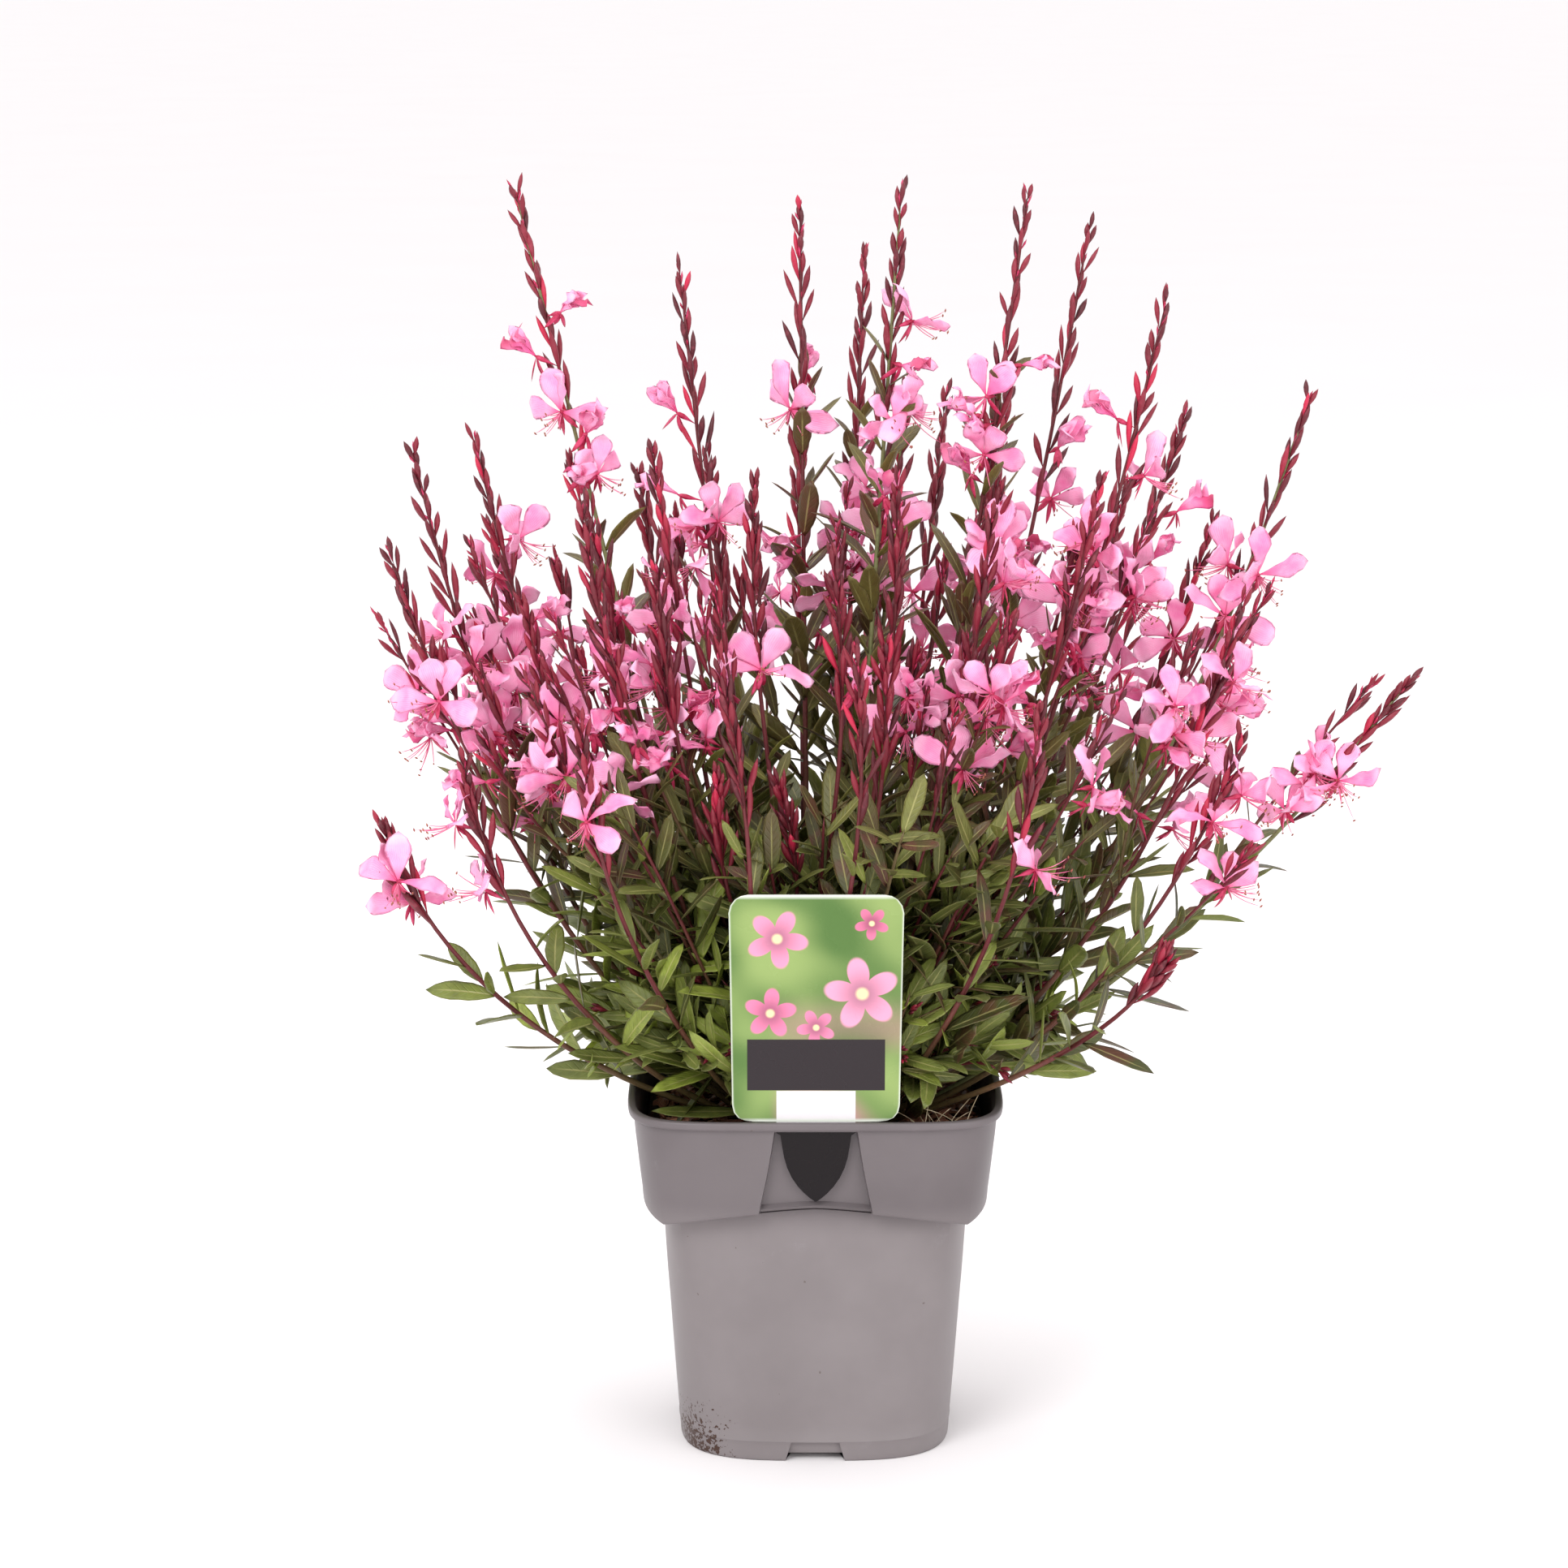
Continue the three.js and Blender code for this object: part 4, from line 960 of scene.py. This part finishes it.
def extra_blooms(branches, stems):
    """More blooms below the buds of the branches, two or three on those in front and one on most of those behind,
    and of the tall stems, where they face the front. Many are shut or withered. All are above the mound and have
    room in front of them in the model's box."""
    order, height = np.arange(branches.count), stems.points[:, -1, 2]
    front = branches.points[:, -1, 1] < 20
    masks = (front, front, front & (order % 2 == 0), ~front & (order % 3 != 2))
    chosen = [np.flatnonzero(mask) for mask in masks]
    tall = [np.flatnonzero(height > least) for least in TALL_STEMS]
    feet, bearings = [], []
    for shoots, index, start, end in ((branches, np.concatenate(chosen), 0.56, 0.84),
                                      (stems, np.concatenate(tall), 0.66, 0.84)):
        zero = np.zeros(len(index))
        feet.append(shoots.leaving(index, rng.uniform(start, end, len(index)), zero, zero)[0])
        tips = shoots.points[index, -1]
        bearings.append(zero - np.pi / 2 if shoots is stems else np.arctan2(tips[:, 1], tips[:, 0]))
    foot = np.concatenate(feet)
    count = len(foot)
    out = heading(np.concatenate(bearings) + rng.uniform(-1.2, 1.2, count), rng.uniform(-0.3, 0.6, count))
    blooms = {"foot": foot, "out": out, "centre": foot + out * STALK, "roll": rng.uniform(-0.5, 0.5, count),
              "size": rng.uniform(0.84, 1.12, count), "open": rng.uniform(0, 1, count) > 0.4}
    ends = foot + out * BLOOM_REACH
    roomy = ((ends > BOX_LOW + BLOOM_SPARE) & (ends < BOX_HIGH - BLOOM_SPARE)).all(axis=1)
    lofty = foot[:, 2] > LOWEST_BLOOM - 0.3 * np.abs(foot[:, 0] + 20)
    return {key: values[roomy & lofty] for key, values in blooms.items()}


def petal_blades(blooms):
    """Petals on claws, four to a bloom in a fan. Half width is sin(pi v^1.5)^0.75 (0.3 + 0.7 v) over 0.77 of its
    greatest. An open one spreads and ripples; a shut one folds forwards and crumples."""
    count = 4 * len(blooms["out"])
    opened, out, size, roll, centre = (np.repeat(blooms[key], 4, axis=0)
                                       for key in ("open", "out", "size", "roll", "centre"))
    side, face = frames(out, UP)
    fan = np.tile(PETAL_FAN, count // 4) * np.where(opened, 1.0, 0.5)
    fan = fan + roll + rng.normal(0, 0.22, count)
    across = turned(face, side, fan)[0]
    forward = np.where(opened, 0.22, 0.9) + rng.normal(0, 0.24, count)
    along = unit(across * np.where(opened, 0.98, 0.45)[:, None] + out * forward[:, None])
    length = PETAL_LENGTH * size * rng.uniform(0.85, 1.08, count) * np.where(opened, 1.0, 0.9)
    width = PETAL_WIDTH * size * rng.uniform(0.75, 1.1, count) * np.where(opened, 1.0, 0.6)
    side, face = turned(*frames(along, out), rng.normal(0, np.where(opened, 0.5, 0.7), count))
    rows, columns = 11, 8
    v = np.linspace(0, 1, rows)
    shape = np.abs(np.sin(np.pi * v ** 1.5)) ** 0.75 * (0.3 + 0.7 * v) / 0.77
    arch = np.where(opened, rng.uniform(-0.5, 0.25, count), rng.uniform(-0.2, 0.5, count))
    middle = curved(centre, along, face, length, rows, arch)
    crumple = np.where(opened, 0.9, 1.4)[:, None]
    phase = rng.uniform(0, 6, (count, 1))
    middle = middle + face[:, None] * (crumple * np.sin(v * 9 + phase) * v)[..., None]
    fold = np.where(opened, rng.uniform(-0.4, 0.5, count), rng.uniform(0.3, 1.1, count))
    wide = shape * width[:, None] / 2 + 0.3
    fold = np.broadcast_to(fold[:, None], wide.shape)
    blades = Blades(middle, side[:, None], face[:, None], wide, np.full_like(wide, 0.2), columns, fold)
    v, u = blades.along, blades.across
    ruffle = (crumple + 0.3) * np.sin(v * 15 + u * 2 + phase) * u * v
    blades.points += face[:, None] * ruffle[..., None]
    return blades, opened


def sepal_blades(blooms, each=3):
    """Straps that bend back from the bloom's foot: half width 1.1 sin(pi v^0.8) + 0.2 mm."""
    out, centre = (np.repeat(blooms[key], each, axis=0) for key in ("out", "centre"))
    count = len(out)
    side, face = frames(out, UP)
    turn = np.tile(SEPAL_FAN, count // each) + rng.uniform(-0.3, 0.3, count)
    across = turned(face, side, turn)[0]
    away = unit(across * 0.9 - out * rng.uniform(0.1, 0.9, (count, 1)))
    middle = curved(centre, away, across, rng.uniform(9, 14, count), 7, rng.uniform(-0.35, 0.1, count))
    side, face = frames(away, across + UP * 1e-3)
    wide = np.broadcast_to(np.sin(np.pi * np.linspace(0, 1, 7) ** 0.8) * 1.1 + 0.2, (count, 7))
    return Blades(middle, side[:, None], face[:, None], wide, wide * 0.3, 6, np.full_like(wide, 0.3))


def make_stamens(name, blooms, stamen, anther, each=9):
    """Eight drooping threads and a longer style to every open bloom, each with a small sac across its end."""
    index = np.repeat(np.flatnonzero(blooms["open"]), each)
    count = len(index)
    out = blooms["out"][index]
    _, face = frames(out, UP)
    spread = rng.normal(0, 0.26, (count, 3))
    along = unit(out * 0.75 - face * 0.75 + spread)
    length = rng.uniform(11, 15.5, count) * np.where(np.arange(count) % each == 0, 1.35, 1.0)
    side, up = frames(along, face)
    middle = curved(blooms["centre"][index], along, up, length, 8, rng.uniform(0.05, 0.45, count))
    wide = np.broadcast_to(np.linspace(0.28, 0.18, 8), (count, 8))
    threads = Blades(middle, side[:, None], up[:, None], wide, wide, 4)
    add_piece(f"{name}_stamens", threads.shape(), stamen)
    lie = unit(np.cross(along, side + spread))
    sacs = spindles(middle[:, -1] - lie, lie, along, np.full(count, 2.0), np.full(count, 0.42), 5, 5, peak=0.5)
    add_piece(f"{name}_anthers", sacs.shape(), anther)


def make_blooms(name, blooms, petal, sepal, stamen, anther):
    """All parts of a group of blooms: petals, the tube behind them, bent sepals, and stamens."""
    petals, opened = petal_blades(blooms)
    tone = np.where(opened, rng.uniform(0.25, 1.0, len(opened)), rng.uniform(0.0, 0.6, len(opened)))
    add_piece(f"{name}_petals", petals.shape(tone=tone), petal)
    reach = np.linalg.norm(blooms["centre"] - blooms["foot"], axis=1) + 1.5
    tubes = spindles(blooms["foot"], blooms["out"], UP, reach, np.full(len(reach), 1.35), 6, 7, peak=0.7)
    add_piece(f"{name}_calyxes", tubes.shape(), sepal)
    add_piece(f"{name}_sepals", sepal_blades(blooms).shape(), sepal)
    make_stamens(name, blooms, stamen, anther)


# Studio.

EYE, AIM = (-0.014, -2.0, 0.690), (-0.014, 0.0, 0.298)


def place_facing(thing, place, aim):
    thing.location = place
    thing.rotation_euler = (Vector(aim) - Vector(place)).to_track_quat("-Z", "Y").to_euler()
    bpy.context.collection.objects.link(thing)


def make_studio():
    """A wide pale floor that fills the picture, a white surround and three large soft lights."""
    paper = Finish("floor", Roughness=0.9, Specular_IOR_Level=0.1)
    paper.set("Base Color", paper.blend(paper.noise(3.0), (243, 240, 241), (246, 243, 244)))
    mesh = bpy.data.meshes.new("floor")
    mesh.from_pydata([(-40, -15, 0), (40, -15, 0), (40, 90, 0), (-40, 90, 0)], [], [(0, 1, 2, 3)])
    mesh.materials.append(paper.material)
    floor = bpy.data.objects.new("floor", mesh)
    bpy.context.collection.objects.link(floor)

    world = bpy.data.worlds.new("studio")
    world.use_nodes = True
    world.node_tree.nodes["Background"].inputs["Color"].default_value = (1.0, 0.992, 0.995, 1)
    world.node_tree.nodes["Background"].inputs["Strength"].default_value = 1.1
    bpy.context.scene.world = world
    for name, place, aim, size, power in (
        ("key", (-1.0, -1.9, 1.9), (0, 0, 0.3), 1.2, 30.0),
        ("fill", (1.5, -1.9, 0.9), (0, 0, 0.3), 1.6, 14.0),
        ("top", (0.2, 0.6, 2.4), (0, 0, 0.3), 1.6, 14.0),
    ):
        light = bpy.data.lights.new(name, "AREA")
        light.shape = "DISK"
        light.size = size
        light.energy = power
        place_facing(bpy.data.objects.new(name, light), place, aim)
    bpy.context.scene.view_settings.view_transform = "Standard"


def make_camera():
    data = bpy.data.cameras.new("camera")
    data.lens = 104.0
    data.sensor_width = 36.0
    camera = bpy.data.objects.new("camera", data)
    place_facing(camera, EYE, AIM)
    bpy.context.scene.camera = camera


# The object.

leaf_paint, bud_paint, stem_paint = leaf_finish(), bud_finish(), stem_finish()
sepal_paint = mottled_finish("sepal", (168, 30, 66), (206, 66, 108), 240.0, 0.45)
stamen_paint = mottled_finish("stamen", (222, 96, 140), (236, 140, 172), 300.0, 0.5)
anther_paint = mottled_finish("anther", (140, 62, 66), (176, 112, 84), 900.0, 0.7)
crown_paint = mottled_finish("crown_wood", (60, 46, 34), (84, 82, 46), 120.0, 0.8, 0.6)
bed_paint = mottled_finish("bark_bed", (38, 25, 21), (82, 48, 40), 160.0, 0.85, 0.8)
compost_paint = mottled_finish("compost", (28, 22, 20), (54, 42, 36), 300.0, 0.95, 0.9)
hair_paint = mottled_finish("root_hair", (190, 168, 134), (222, 204, 172), 200.0, 0.6)

make_pot(pot_finish())
make_label(label_finish())
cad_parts["compost"].data.materials.clear()
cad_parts["compost"].data.materials.append(compost_paint)
make_bed(bed_paint)
make_bark(chip_finish())
make_crown(crown_paint)
make_root_hairs(hair_paint)

stems = stem_curves()
branches = side_shoots(stems)
mound = low_shoots()
dome = dome_shoots()
green = np.isin(np.arange(stems.count), GREEN_STEMS) * 0.95
stem_nodes = [f"stem_{i + 1:02d}" for i in range(stems.count)]
add_piece("main_stems", stems.tubes(1.6, 0.7, 2, 7).shape(tone=green), stem_paint, "stems", *stem_nodes)
add_piece("branches", branches.tubes(0.95, 0.5, 2, 6).shape(0, 0.5), stem_paint)
add_piece("mound_shoots", mound.tubes(1.1, 0.6, 4, 6).shape(0, 1), stem_paint)
add_piece("dome_shoots", dome.tubes(1.1, 0.6, 4, 6).shape(0, 0.9), stem_paint)
make_leaves(stems, branches, mound, dome, leaf_paint)
make_basal_leaves(leaf_paint)
make_spikes(stems, branches, mound, bud_paint, sepal_paint)
bloom_paints = petal_finish(), sepal_paint, stamen_paint, anther_paint
make_blooms("stem", stem_blooms(stems), *bloom_paints)
make_blooms("branch", extra_blooms(branches, stems), *bloom_paints)
make_studio()
make_camera()
